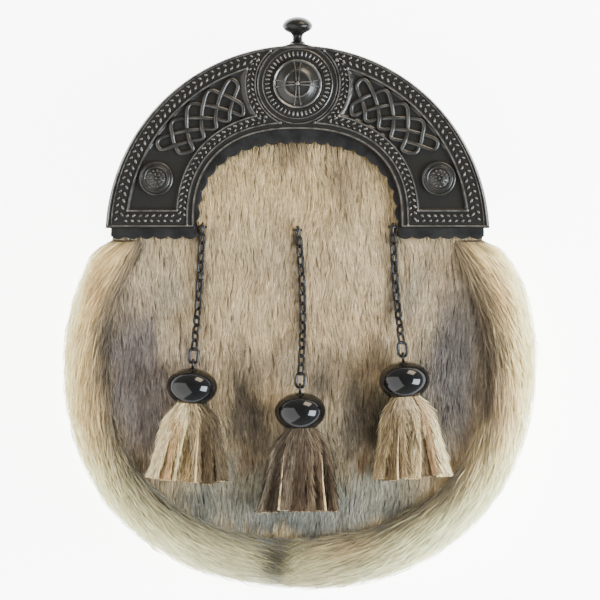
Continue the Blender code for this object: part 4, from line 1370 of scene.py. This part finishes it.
# Painted shade: strands are darker towards a lock's edges, in the gaps between locks
shade *= 1.04 - 0.6 * off_middle**2
shade[rng.random(count) < 0.06] *= 1.5  # scattered pale guard hairs
# Painted shade: each strand is darker at its root, deep in the pile
tints = strand_tints(hide_colour(x, y - 0.5 * length), (0.74, 0.95, 1.07), np.clip(shade, 0.4, 1.8))
strand_mesh("hide_pile", paths, across, widths, tints, pile_finish, "hide")

# %% [markdown]
# ### The long fur of the gusset
#
# Long hair wraps the sides and the bottom of the pouch. Its outer form is known: at each place of the seam
# a section runs from the edge of the hide over a full crest and round to the back. That form is worked out
# as a grid. A pelt lies a little inside it, and the strands start at the pelt and follow the grid, down the
# sides and along the bottom, until they meet in the middle.

# %% How far the fur stands out of the seam
ALONG_STEPS, ACROSS_STEPS = 90, 48
FUR_HALF_WIDTH, FUR_TOP_Y = box("fur_gusset_right")[1].x, box("fur_gusset_right")[1].y
FUR_DROP = WAIST_Y - box("fur_gusset_right")[0].y
FUR_RISE, FUR_EDGE_RISE = 102.8, 89.4  # from the waist up to the tops of its outer and inner ovals
FUR_POWER = 2.2  # below the waist, a little fuller than an ellipse


def evenly(points, count):
    """Points at even distances along a line."""
    run = run_along(points)
    at = np.linspace(0, run[-1], count)
    return np.stack([np.interp(at, run, axis) for axis in points.T], axis=1)


dense = np.array([tuple(at) for at in seam_outline(200, 600) if at.y <= FUR_TOP_Y])
seam = evenly(dense, ALONG_STEPS)
heading = unit(np.gradient(seam, axis=0))
outward = np.stack((-heading[:, 1], heading[:, 0]), axis=1)
outward[-1] = (0, -1)
stand = np.zeros(ALONG_STEPS)
for _ in range(10):  # walks out to the oval of the fur's outline
    x, y = (seam + outward * stand[:, None]).T
    power = np.where(y > WAIST_Y, 2.0, FUR_POWER)
    rise = np.where(y > WAIST_Y, FUR_RISE, FUR_DROP)
    size = (np.abs(x) / FUR_HALF_WIDTH) ** power + (np.abs(y - WAIST_Y) / rise) ** power
    stand += (1 - size ** (1 / power)) * FUR_HALF_WIDTH
print(f"seam of {run_along(dense)[-1]:.0f} mm on each side, fur up to {stand.max():.1f} mm beyond it")

# %% The fur's outer form as a grid
WIDEST_LEVEL = 22.0  # where the fur stands out furthest
x, y = seam.T
edge_x = WAIST_HALF_WIDTH * np.sqrt(np.clip(1 - ((y - WAIST_Y) / FUR_EDGE_RISE) ** 2, 0, 1))
overlap = 1.2 + np.where(y > WAIST_Y, np.clip(x - edge_x, 0, None), 0)
lip = front_level(x, y) + GAP
fullness = smooth_step(stand / 12)
crest = lip + 1.0 + 5.6 * fullness
rest = BACK_FACE * (1 - fullness)
section = (
    # distance out of the seam, level
    (-overlap, lip),
    (-overlap * 0.8, blend(lip, crest, 0.45)),
    (blend(-overlap, stand, 0.22), blend(lip, crest, 0.88)),
    (blend(-overlap, stand, 0.45), crest),
    (stand * 0.72, blend(FRONT_INSIDE - GAP, crest, 0.7)),
    (stand * 0.93, FRONT_INSIDE - 4),
    (stand, WIDEST_LEVEL),
    (stand * 0.94, blend(rest, WIDEST_LEVEL, 0.45)),
    (stand * 0.76, blend(rest, WIDEST_LEVEL, 0.12)),
    (stand * 0.56, rest),
    (stand * 0.2 + GAP, rest),
)
profiles = np.stack([np.stack(np.broadcast_arrays(out, up), axis=-1) for out, up in section], axis=1)
fine = np.stack([evenly(profile, ACROSS_STEPS) for profile in profiles])
for _ in range(4):  # rounds the corners of the section, its two ends kept
    fine[:, 1:-1] = (fine[:, :-2] + 2 * fine[:, 1:-1] + fine[:, 2:]) / 4
form = np.concatenate((seam[:, None] + outward[:, None] * fine[..., :1], fine[..., 1:]), axis=-1)
form[-1, :, 0] = 0.0
slope_along, slope_across = np.gradient(form, axis=0), np.gradient(form, axis=1)
along_size, across_size = np.linalg.norm(slope_along, axis=-1), np.linalg.norm(slope_across, axis=-1)
form_normal = unit(np.cross(slope_across, slope_along))
form_normal *= np.sign(form_normal[ALONG_STEPS // 2, ACROSS_STEPS // 3, 2])


def on_form(grid, u, v):
    """Values of a grid at fractional places u along and v across, both in grid steps."""
    u, v = np.clip(u, 0, ALONG_STEPS - 1.001), np.clip(v, 0, ACROSS_STEPS - 1.001)
    i, j = u.astype(int), v.astype(int)
    near, far = (blend(grid[row, j].T, grid[row, j + 1].T, v - j) for row in (i, i + 1))
    return blend(near, far, u - i).T


# %% Colours of the long fur
# From the seam (0) to the outer edge (1): the fur's own cream colour, darkened near the seam as painted shade
# in the valley along the hide, and close to white at the outer edge, partly as a painted glow through the
# hair
SIDE_STOPS = (
    (0.0, (124, 112, 94)), (0.08, (146, 132, 110)), (0.22, (182, 165, 134)), (0.42, (219, 199, 155)),
    (0.7, (249, 232, 185)), (0.88, (254, 242, 201)), (1.0, (254, 247, 214)),
)
BOTTOM_STOPS = (
    (0.0, (134, 127, 104)), (0.12, (168, 161, 132)), (0.32, (203, 198, 161)), (0.6, (229, 226, 186)),
    (0.85, (247, 246, 208)), (1.0, (253, 253, 221)),
)
FUR_PATCHES = (
    # middle x and y, half width and height, turn, colour, strength
    (0, -117, 56, 19, 0, (176, 167, 131), 0.75),
    (-10, -112, 9, 15, 0, (84, 79, 65), 0.95),
    (24, -108, 20, 8, 0, (176, 154, 118), 0.5),
    (-62, -84, 12, 6, 0, (160, 146, 118), 0.3),
    (58, -88, 12, 6, 0, (156, 142, 116), 0.3),
    (-86, 6, 6, 16, 0, (206, 178, 136), 0.5),
    (74, 6, 5, 14, 0, (176, 162, 136), 0.6),
    (75, -42, 6, 14, 0, (160, 150, 130), 0.6),
    (88, 0, 5, 16, 0, (214, 186, 146), 0.5),
    (-82, -18, 5, 20, 0, (98, 90, 78), 0.75),
    (86, -22, 8, 15, 0, (150, 139, 118), 0.5),
    (76, -62, 8, 16, 0, (206, 190, 152), 0.6),
    (88, -46, 5, 18, 0, (196, 176, 150), 0.4),
    (-88, -50, 6, 20, 0, (202, 180, 140), 0.4),
)


def fur_colour_and_light(at, down, outness):
    """Colour of the long fur at points, from how far down the seam and how far out they lie, with painted
    shade along the hide and a painted glow at the outer edge.
    """
    below = smooth_step((down - 0.3) / 0.3)[:, None]
    colour = blend(ramp(outness, SIDE_STOPS), ramp(outness, BOTTOM_STOPS), below)
    return add_patches(colour, at[:, 0], at[:, 1], FUR_PATCHES, 1.2)


# %% The pelt
PELT_DEPTH = 2.2


def depth_under(reach):
    """How far the pelt lies inside the fur's outer form, which is less where the fur hardly stands out."""
    return np.minimum(PELT_DEPTH, 0.45 * reach)


def pelt(side):
    """The closed skin under the fur: the outer form, sunk by the hair's depth, joined to the leather wall."""
    sunk = form - form_normal * depth_under(stand)[:, None, None]
    sunk[..., 2] = np.maximum(sunk[..., 2], 0.15)
    inside = [(-LEATHER, BACK_INSIDE + GAP), (-LEATHER, FRONT_INSIDE - GAP), (GAP, FRONT_INSIDE - GAP)]
    sections = []
    for k in range(ALONG_STEPS):
        wall = (*inside, (GAP, lip[k]), (GAP, BACK_INSIDE + GAP))
        *before, back = [(*(seam[k] + outward[k] * out), up) for out, up in wall]
        ring = np.array([*before, *sunk[k, 2:-1:2], back])
        ring[:, 0] *= side if k < ALONG_STEPS - 1 else 0.0
        sections.append(ring)
    bm = bmesh.new()
    loft(bm, sections)
    return bm


# %% Strands of each half
FUR_STRANDS, FUR_STATIONS, FUR_LENGTH = 36000, 4, 22.0
FUR_LOCK_LONG, FUR_LOCK_WIDE = 1.5, 1.4  # in steps of the grid
BRUSHED = {1: (2.4, 3.4), -1: (1.0, 0.8)}  # how far a side's hair stands up all along, and at its shoulder
LEG_START = 1.3  # steps of the grid by which the roots move up, so that hair begins thick under the leg
LOOSE_SHARE, DARK_SHARE = 0.06, 0.1  # strands that stand off the rest, and strands that are darker
FRONT_SHARE, BACK_DENSITY = 0.72, 0.35  # the share of a section seen from the front; how thick the rest is
cell_area = np.linalg.norm(np.cross(slope_across, slope_along), axis=-1)[:-1, :-1]
density = np.where(np.arange(ACROSS_STEPS - 1) < ACROSS_STEPS * FRONT_SHARE, 1.0, BACK_DENSITY)
chance = (cell_area * density).ravel()
chance /= chance.sum()


def fur_strands(side, seed):
    """Paths, sides, widths and tints of one half's long hair."""
    draw = np.random.default_rng(seed)
    cell = draw.choice(len(chance), FUR_STRANDS, p=chance)
    u = np.maximum(cell // (ACROSS_STEPS - 1) + draw.random(FUR_STRANDS) - LEG_START, 0.0)
    v = cell % (ACROSS_STEPS - 1) + draw.random(FUR_STRANDS)
    down = u / ALONG_STEPS
    reach, inner = (np.interp(u, range(ALONG_STEPS), values) for values in (stand, -overlap))
    outness = np.clip((on_form(fine[..., 0], u, v) - inner) / np.maximum(reach - inner, 0.1), 0, 1)
    place = np.stack((u, v, 0 * u), axis=-1)
    lock_u = np.floor((u + 0.8 * wander(place, 3.0, seed + 1)) / FUR_LOCK_LONG)
    lock_v = np.floor((v + 0.8 * wander(place, 3.0, seed + 2)) / FUR_LOCK_WIDE)
    table = draw.uniform(-1, 1, (5, 128, 128))
    lock_turn, lock_shade, lock_lift, lock_reach, _ = pick_locks(table, lock_u, lock_v)
    turn = 12 + 5 * lock_turn + 4 * wander(place, 9.0, seed + 3) + draw.normal(0, 4, FUR_STRANDS)
    turn = np.radians(turn + 12 * smooth_step((down - 0.8) / 0.2))
    length = FUR_LENGTH * (1 + 0.15 * lock_reach + draw.uniform(-0.3, 0.15, FUR_STRANDS))
    length *= blend(0.55, 1.0, smooth_step(reach / 11))
    lift = 0.25 + 0.35 * lock_lift + draw.uniform(0.0, 0.7, FUR_STRANDS)
    loose = draw.random(FUR_STRANDS) < LOOSE_SHARE
    lift[loose] += draw.uniform(0.5, 1.8, loose.sum())
    whole = smooth_step((down - 0.04) / 0.2) * (1 - smooth_step((down - 0.86) / 0.14))
    shoulder = smooth_step(1 - down / 0.34) * smooth_step(0.4 + down / 0.08)
    lift += (BRUSHED[side][0] * whole + BRUSHED[side][1] * shoulder) * smooth_step((outness - 0.3) / 0.5)
    to_middle = (ALONG_STEPS - 1 - u) * on_form(along_size, u, v)
    length = np.minimum(length, to_middle + draw.uniform(4.0, 13.0, FUR_STRANDS))
    step = length / (FUR_STATIONS - 1)
    paths = np.zeros((FUR_STRANDS, FUR_STATIONS, 3))
    at_u, at_v = u, v
    for k in range(FUR_STATIONS):
        share = k / (FUR_STATIONS - 1)
        to_lock = (lock_v + 0.5) * FUR_LOCK_WIDE - v
        use_v = at_v + to_lock * 0.45 * share**1.5
        height = blend(-depth_under(reach), lift, min(share * 1.6, 1.0) ** 0.8)
        size = on_form(along_size, at_u, use_v)
        beyond = np.clip(at_u - (ALONG_STEPS - 1.001), 0, None) * size
        paths[:, k] = on_form(form, at_u, use_v) + on_form(form_normal, at_u, use_v) * height[:, None]
        paths[:, k] -= beyond[:, None] * (0.75, 0.1, 0.0)
        at_u = at_u + step * np.cos(turn) / np.maximum(size, 0.3)
        at_v = at_v + step * np.sin(turn) / np.maximum(on_form(across_size, at_u, use_v), 0.15)
    paths[..., 2] = np.maximum(paths[..., 2], 0.2)
    paths[..., 0] *= side
    shade = 1 + 0.13 * lock_shade + draw.normal(0, 0.13, FUR_STRANDS)
    shade[draw.random(FUR_STRANDS) < DARK_SHARE] *= 0.66
    # The base holds painted shade along the hide and a painted glow at the outer edge
    base = fur_colour_and_light(paths[:, 2], down, outness)
    # Painted shade: each strand is darker at its root, deep in the fur
    tints = strand_tints(base, (0.62, 0.94, 1.1, 1.2), np.clip(shade, 0.4, 1.5), 0.97)
    normals = on_form(form_normal, u, v) * (side, 1, 1)
    across = blade_sides(unit(paths[:, -1] - paths[:, 0]), normals, draw.normal(0, 0.55, FUR_STRANDS))
    widths = np.array(LONG_WIDTHS) * draw.uniform(0.75, 1.25, (FUR_STRANDS, 1))
    return paths, across, widths, tints


for side, where in ((-1, "left"), (1, "right")):
    piece = finish_piece(f"pelt_{where}", pelt(side), skin_finish, "long_fur", f"fur_gusset_{where}")
    paint(piece.data, "tint", np.tile(seen(156, 138, 108), (len(piece.data.vertices), 1)))
    strand_mesh(f"long_fur_{where}", *fur_strands(side, 700 + side), fur_finish, "long_fur")

# %% [markdown]
# ## Chains, staples and bells
#
# Each tassel hangs from a wire staple by a chain of small curb links, which lie turned by a quarter from
# one to the next. A link is one swept oval. The bells were turned, enamelled and fitted with a wire eye, so
# each is a spun profile with a spun ring on its crown.

# %% Where the tassels hang
WIRE, BIG_WIRE, LINK_PITCH, LINK_HALF_WIDTH, WELD = 0.58, 0.65, 4.1, 1.5, 0.52
END_HALF_LENGTH, END_HALF_WIDTH = 3.2, 1.85  # the larger link that holds the bell
BELL_RADIUS, BELL_HALF_HEIGHT, BELL_MOUTH, EYE_RADIUS = 11.0, 8.0, 7.2, 1.9
EYE_HEIGHT = BELL_HALF_HEIGHT + EYE_RADIUS - 0.35  # its foot is sunk in the crown
STAPLE_RADIUS, STAPLE_HEIGHT = 1.45, 2.7
TASSELS = (
    # name, staple x and y, sideways sag of the chain, bell x and y, x of the tassel's end, its length
    ("left", -41.0, 31.5, 0.3, -45.2, -37.0, -47.9, 33.4),
    ("centre", 0.2, 30.2, 1.6, 1.2, -47.5, -0.6, 35.8),
    ("right", 41.0, 31.5, -0.6, 45.8, -34.2, 49.2, 34.4),
)


def bell_frame(staple_x, staple_y, bell_x, bell_y):
    """The bell's own axes: its Z points up the pouch towards the chain, and it lies on the hide."""
    lean = math.atan2(bell_x - staple_x, staple_y - bell_y) * 0.8
    level = front_level(bell_x, bell_y) + GAP + BELL_RADIUS
    return flat_place(bell_x, bell_y, level, lean) @ Matrix.Rotation(-math.pi / 2, 4, "X"), lean


# %% Links


def link_shape(half_length, half_width, wire, steps=18):
    """One oval link in the XY plane, long along X."""
    route = []
    for turn in even_turns(steps):
        straight = math.copysign(half_length - half_width, math.cos(turn)) * min(abs(math.cos(turn)) * 4, 1)
        route.append((straight + half_width * math.cos(turn), half_width * math.sin(turn), 0))
    shape = bmesh.new()
    sweep(shape, route, wire, sides=7, around=True)
    return shape


def chain_places(crown, eye, sag):
    """The matrix of each small link, the links' half length, and the matrix of the end link."""
    rest_height = LINK_HALF_WIDTH * math.sin(math.pi / 4) + WIRE + GAP
    share = np.linspace(0, 1, 2001)
    route = blend(np.array(crown), np.array(eye), share[:, None])
    route[:, 0] += sag * np.sin(math.pi * share)
    lying = front_level(route[:, 0], route[:, 1]) + rest_height
    route[:, 2] = blend(lying, eye[2], smooth_step((share - 0.6) / 0.34))
    route[:, 2] = np.where(share < 0.1, blend(crown[2], lying, share / 0.1), route[:, 2])
    run = run_along(route)

    def at_length(length, roll):
        k = int(np.searchsorted(run, length))
        along = Vector(route[min(k + 6, 2000)] - route[max(k - 6, 0)]).normalized()
        flat = UP.cross(along).normalized()
        across = flat * math.cos(roll) + along.cross(flat) * math.sin(roll)
        turn = Matrix((along, across, along.cross(across))).transposed().to_4x4()
        return Matrix.Translation(route[k]) @ turn

    end_hook = END_HALF_LENGTH - BIG_WIRE - WIRE - GAP
    count = round((run[-1] - 2 * end_hook) / LINK_PITCH)
    pitch = (run[-1] - 2 * end_hook) / count
    half_length = pitch / 2 + WIRE - WELD / 2
    hook = half_length - 2 * WIRE - GAP
    rolls = [math.radians(90 if k == 0 else 45 if k % 2 else -45) for k in range(count)]
    small = [at_length(hook + k * pitch, roll) for k, roll in enumerate(rolls)]
    return small, half_length, at_length(run[-1] - end_hook, 0)


# %% Staples, chains and bells
BELL = (
    # radius and height, from the crown over the shoulder to the lip and up inside
    (0.0, 8.0), (1.6, 7.95), (2.4, 7.8), (2.8, 7.5), (3.4, 7.55), (4.6, 7.35), (6.3, 6.6), (7.9, 5.6),
    (9.1, 4.55), (10.1, 3.2), (10.75, 1.7), (11.0, 0.15), (10.9, -1.4), (10.45, -2.8), (9.75, -4.1),
    (8.8, -5.3), (7.8, -6.3), (7.0, -6.95), (6.6, -7.2), (6.0, -7.25), (5.5, -7.1), (5.45, -6.7),
    (7.5, -4.6), (9.1, -1.6), (9.35, 0.8), (7.3, 3.8), (3.3, 5.8), (0.0, 6.1),
)


def staple_wire(x, y, foot):
    """A wire bent to a half round, with its two legs in the hide."""
    bow = arc(STAPLE_RADIUS, 0, math.pi, 14, x, foot + STAPLE_HEIGHT - STAPLE_RADIUS)
    ends = [Vector((x + side * STAPLE_RADIUS, foot - 0.8)) for side in (1, -1)]
    route = [Vector((at.x, y, at.y)) for at in (ends[0], *bow, ends[1])]
    side = Vector((0, 1, 0))
    rings = []
    for before, at, after in zip(route[:1] + route, route, route[1:] + route[-1:]):
        rings.append(ring_about(at, side * WIRE, (after - before).normalized().cross(side) * WIRE, 10))
    bm = bmesh.new()
    loft(bm, rings)
    return bm


for name, staple_x, staple_y, sag, bell_x, bell_y, *_ in TASSELS:
    lie, _ = bell_frame(staple_x, staple_y, bell_x, bell_y)
    foot = front_level(staple_x, staple_y) + GAP
    staple = staple_wire(staple_x, staple_y, foot)
    staple = finish_piece(f"wire_staple_{name}", staple, chain_finish, "dark_metal", f"staple_{name}")
    wear_upwards(staple, foot, foot + STAPLE_HEIGHT)
    crown = (staple_x, staple_y, foot + STAPLE_HEIGHT)
    small, half_length, last = chain_places(crown, lie @ Vector((0, 0, EYE_HEIGHT + EYE_RADIUS)), sag)
    chain = bmesh.new()
    scatter(chain, link_shape(half_length, LINK_HALF_WIDTH, WIRE), small)
    scatter(chain, link_shape(END_HALF_LENGTH, END_HALF_WIDTH, BIG_WIRE, steps=26), [last])
    chain = finish_piece(f"links_{name}", chain, chain_finish, "dark_metal", f"chain_{name}", sharp=80)
    x, y, z = points_of(chain)
    paint(chain.data, "wear", smooth_step((z - front_level(x, y) - 1.6) / 2))
    bell = bmesh.new()
    turned(bell, BELL, 72, lie)
    eye = [on_circle(WIRE, turn + math.pi / 2, EYE_RADIUS) for turn in even_turns(10)]
    eye_place = Matrix.Translation((0, 0, EYE_HEIGHT)) @ Matrix.Rotation(math.pi / 2, 4, "Y")
    turned(bell, eye + eye[:1], 24, lie @ eye_place)
    finish_piece(f"bell_cup_{name}", bell, enamel_finish, "black_enamel", f"bell_{name}", sharp=60)

# %% [markdown]
# ## Tassels
#
# A tassel is a bunch of narrow fur strips with the hair left on, which spreads from the mouth of its bell
# and is cut off straight. Each strip turns a little about its own length, so the strips overlap like
# pleats, and the pale cut edge of the skin shows where a strip stands on edge. So a strip is a thin band of
# skin with strands on both its faces, a thin pale line along a raised edge, and one along its cut end.

# %% Strips of a tassel
TASSEL_LENGTH, STRIP_STATIONS = 34.6, 16
TOP_ROW = (-0.95, -0.62, -0.3, 0.04, 0.36, 0.68, 0.97)  # places across the tassel
LOW_ROW = (-0.78, -0.4, 0.0, 0.4, 0.78)
SPREAD = (
    # distance below the bell's lip, distance of the outermost strip from the middle
    (-4.0, 2.6), (-0.3, 3.0), (1.5, 5.2), (4.5, 7.4), (9.5, 9.6), (16.0, 11.2), (26.0, 13.2), (34.6, 14.8),
)
STRIP_WIDTH = ((0.0, 1.1), (0.12, 1.5), (0.3, 2.5), (1.0, 2.9))  # share of the length, half width


def strip_frames(mouth, lean, length, drift, top, offset, edge_side, draw):
    """Middle, sideways direction and half width of a strip, from inside the bell to its cut end."""
    down = Vector((math.sin(lean), -math.cos(lean), 0))
    across = Vector((-down.y, down.x, 0))
    bulge = math.sqrt(max(1 - offset * offset, 0.0))
    turn_end = math.radians(draw.uniform(28, 52) * draw.choice((-1, 1)) * (1 if top else 0.4))
    if edge_side:
        turn_end = math.copysign(turn_end, edge_side)
    own_length = length + draw.normal(0, 0.45)
    bow = draw.normal(0, 0.6)
    frames = []
    for share in np.linspace(0, 1, STRIP_STATIONS):
        distance = blend(SPREAD[0][0], own_length, share)
        side = offset * np.interp(distance * TASSEL_LENGTH / length, *zip(*SPREAD))
        side += drift * max(distance, 0) / length + bow * math.sin(math.pi * share)
        at = mouth + down * distance + across * side
        bottom = front_level(at.x, at.y) + GAP
        rise = 6.6 + 3.2 * bulge if top else 2.6
        start = mouth.z + (2.6 if top else -2.6) * bulge
        at.z = blend(start, bottom + rise, smooth_step(share * 1.25))
        turn = turn_end * smooth_step(share * 1.5 - 0.15)
        half_width = float(np.interp(share, *zip(*STRIP_WIDTH)))
        frames.append((at, across * math.cos(turn) + UP * math.sin(turn), half_width))
    return frames


def band(bm, frames, thickness=0.3):
    """The skin of a strip, a thin flat band."""
    small = bmesh.new()
    loft(small, [
        ring_about(at, side * half_width, (UP - side * side.z).normalized() * thickness, 8)
        for at, side, half_width in frames
    ])
    add_to(bm, small)


# %% Hair of a strip


def strip_hair(frames, tint, count, draw):
    """Strands on both faces of a strip, gathered in tufts and cut off where the strip ends."""
    middle, sideways = (np.array([tuple(row[n]) for row in frames]) for n in (0, 1))
    knots = np.linspace(0, 1, len(frames))

    def along_strip(table, share):
        return np.stack([np.interp(share, knots, axis) for axis in table.T], axis=-1)

    share = draw.uniform(0, 1, count) ** 0.85 * 0.97
    place = draw.uniform(-1, 1, count)
    tuft = np.round(place * 2.5 + 0.5 * np.sin(share * 11)) / 2.5
    face = np.where(draw.random(count) < 0.7, 1.0, -1.0)
    run = draw.uniform(4.0, 7.0, count) / TASSEL_LENGTH
    splay = 1.1 * place + draw.normal(0, 0.8, count)
    rise = draw.uniform(0.3, 1.2, count)
    cut = 1 + draw.uniform(-0.014, 0.012, count)
    last_step = middle[-1] - middle[-2]
    paths = np.zeros((count, 3, 3))
    for k, (part, lift) in enumerate(((0.0, 0.0), (0.5, 0.8), (1.0, 1.0))):
        at = np.minimum(share + run * part, cut)
        side = unit(along_strip(sideways, at))
        normal = unit(np.array(UP) - side * side[:, 2:]) * face[:, None]
        half_width = np.interp(at, knots, [row[2] for row in frames])
        reach = blend(place, tuft, 0.55 * part) * half_width + splay * part
        beyond = np.clip(at - 1, 0, None)[:, None] * last_step * len(frames)
        off = side * reach[:, None] + normal * (0.2 + rise * lift)[:, None]
        paths[:, k] = along_strip(middle, at) + off + beyond
    along = unit(paths[:, 2] - paths[:, 0] + last_step * 0.02)
    across = blade_sides(along, normal, draw.normal(0, 0.5, count))
    widths = np.array(SHORT_WIDTHS) * draw.uniform(0.7, 1.2, (count, 1))
    # Painted shade: strands are darker the further they lie from their tuft's middle, in the gaps between
    # tufts
    shade = 1.1 + draw.normal(0, 0.22, count) - 0.8 * np.abs(place - tuft)
    shade[draw.random(count) < 0.1] *= 1.7  # pale flecks
    shade[draw.random(count) < 0.08] *= 0.55
    # Painted shade: darker near the bell, in its shadow, and much darker on the strip's underside
    shade *= blend(0.9, 1.08, share) * np.where(face > 0, 1.0, 0.4)
    # Painted shade: each strand is darker at its root, next to the skin
    return paths, across, widths, strand_tints(seen(*tint), (0.55, 0.95, 1.12), np.clip(shade, 0.35, 1.6))


# %% Colours of the strips
SKIN_EDGE = (226, 204, 166)
STRIPS = {
    # colours of the top row from left to right, and which of its strips show a pale edge: 1 right, -1 left
    "left": (
        ((246, 228, 192), (220, 196, 158), (250, 234, 194), (206, 186, 148), (158, 142, 116), (136, 122, 100),
         (126, 113, 92)), {3: 1},
    ),
    "centre": (
        ((134, 122, 106), (108, 98, 85), (130, 117, 100), (122, 108, 93), (154, 139, 118), (148, 132, 112),
         (140, 126, 108)), {2: -1, 5: 1},
    ),
    "right": (
        ((186, 170, 138), (150, 133, 106), (186, 168, 138), (232, 214, 178), (138, 121, 96), (220, 196, 162),
         (244, 226, 188)), {1: 1, 3: 1},
    ),
}

# %% The three tassels
for name, staple_x, staple_y, _, bell_x, bell_y, end_x, length in TASSELS:
    draw = np.random.default_rng(len(name) * 31)
    lie, lean = bell_frame(staple_x, staple_y, bell_x, bell_y)
    mouth = lie @ Vector((0, 0, -BELL_MOUTH))
    drift = end_x - (mouth.x + math.sin(lean) * length)
    colours, shown = STRIPS[name]
    skin = bmesh.new()
    hair, tint_runs = [], []
    rows = [(True, offset, colours[k], shown.get(k, 0)) for k, offset in enumerate(TOP_ROW)]
    rows += [(False, offset, colours[k + 1], 0) for k, offset in enumerate(LOW_ROW)]
    for top, offset, tint, edge_side in rows:
        frames = strip_frames(mouth, lean, length, drift, top, offset + draw.normal(0, 0.03), edge_side, draw)
        done = len(skin.verts)
        band(skin, frames)
        # Painted shade: a strip's skin is painted at half its hair's colour, as shade under the hair
        tint_runs.append((len(skin.verts) - done, np.array(seen(*tint)) * 0.5))
        done = len(skin.verts)
        if top:
            at, side, half_width = frames[-1]
            cut = at + (at - frames[-2][0]).normalized() * 0.25
            edge = [cut + side * (half_width * part) for part in (-0.95, -0.3, 0.3, 0.95)]
            sweep(skin, edge, 0.22, sides=5)
        if edge_side:
            raised = math.copysign(1.0, frames[-1][1].z)
            edge = [
                at + side * (raised * (half_width + 0.4)) + UP * 0.9 for at, side, half_width in frames[6:]
            ]
            sweep(skin, edge, np.linspace(0.1, 0.5, len(edge)), sides=5)
        tint_runs.append((len(skin.verts) - done, seen(*SKIN_EDGE)))
        hair.append(strip_hair(frames, tint, 1500 if top else 800, draw))
    body = finish_piece(f"tassel_skin_{name}", skin, skin_finish, "tassel_fur", f"tassel_{name}")
    paint(body.data, "tint", np.concatenate([np.tile(colour, (count, 1)) for count, colour in tint_runs]))
    joined = [np.concatenate(parts) for parts in zip(*hair)]
    strand_mesh(f"tassel_hair_{name}", *joined, tassel_finish, "tassel_fur")

# %% [markdown]
# ## The floor, and a check of the size
#
# The pouch lies on a plain white table, which is no part of it. For a product shot on pure white the table
# is lit from below as well, so its finish glows in the middle. Last, the size of the whole is compared with
# the measured model, which shows how far the hair stands proud of its solid form.

# %% Floor
floor_mesh = bmesh.new()
bmesh.ops.create_grid(floor_mesh, x_segments=8, y_segments=8, size=3.0)
floor = bpy.data.objects.new("floor", bpy.data.meshes.new("floor"))
floor_mesh.to_mesh(floor.data)
floor_mesh.free()
bpy.context.scene.collection.objects.link(floor)
floor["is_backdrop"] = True
floor_finish, tree, shader = new_material(
    "pale floor", Roughness=0.9, Specular_IOR_Level=0.2, Emission_Strength=7.0,
)
paper = mix(tree, noise(tree, 3.0, 3.0), (0.93, 0.93, 0.92, 1), (0.96, 0.96, 0.95, 1))
away = node(tree, "VectorMath", "Value", {"operation": "LENGTH"}, {0: spot(tree)})
fill(shader, Base_Color=paper, Emission_Color=span(tree, away, 0.2, 0.34, 1.0, 0.0))
floor.data.materials.append(floor_finish)

# %% Size of the whole
low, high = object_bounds()
for axis, name in enumerate("XYZ"):
    grown_low, grown_high = (cad_low - low)[axis] / MM, (high - cad_high)[axis] / MM
    print(f"{name}: hair stands {grown_low:.1f} and {grown_high:.1f} mm out of the model's two ends")
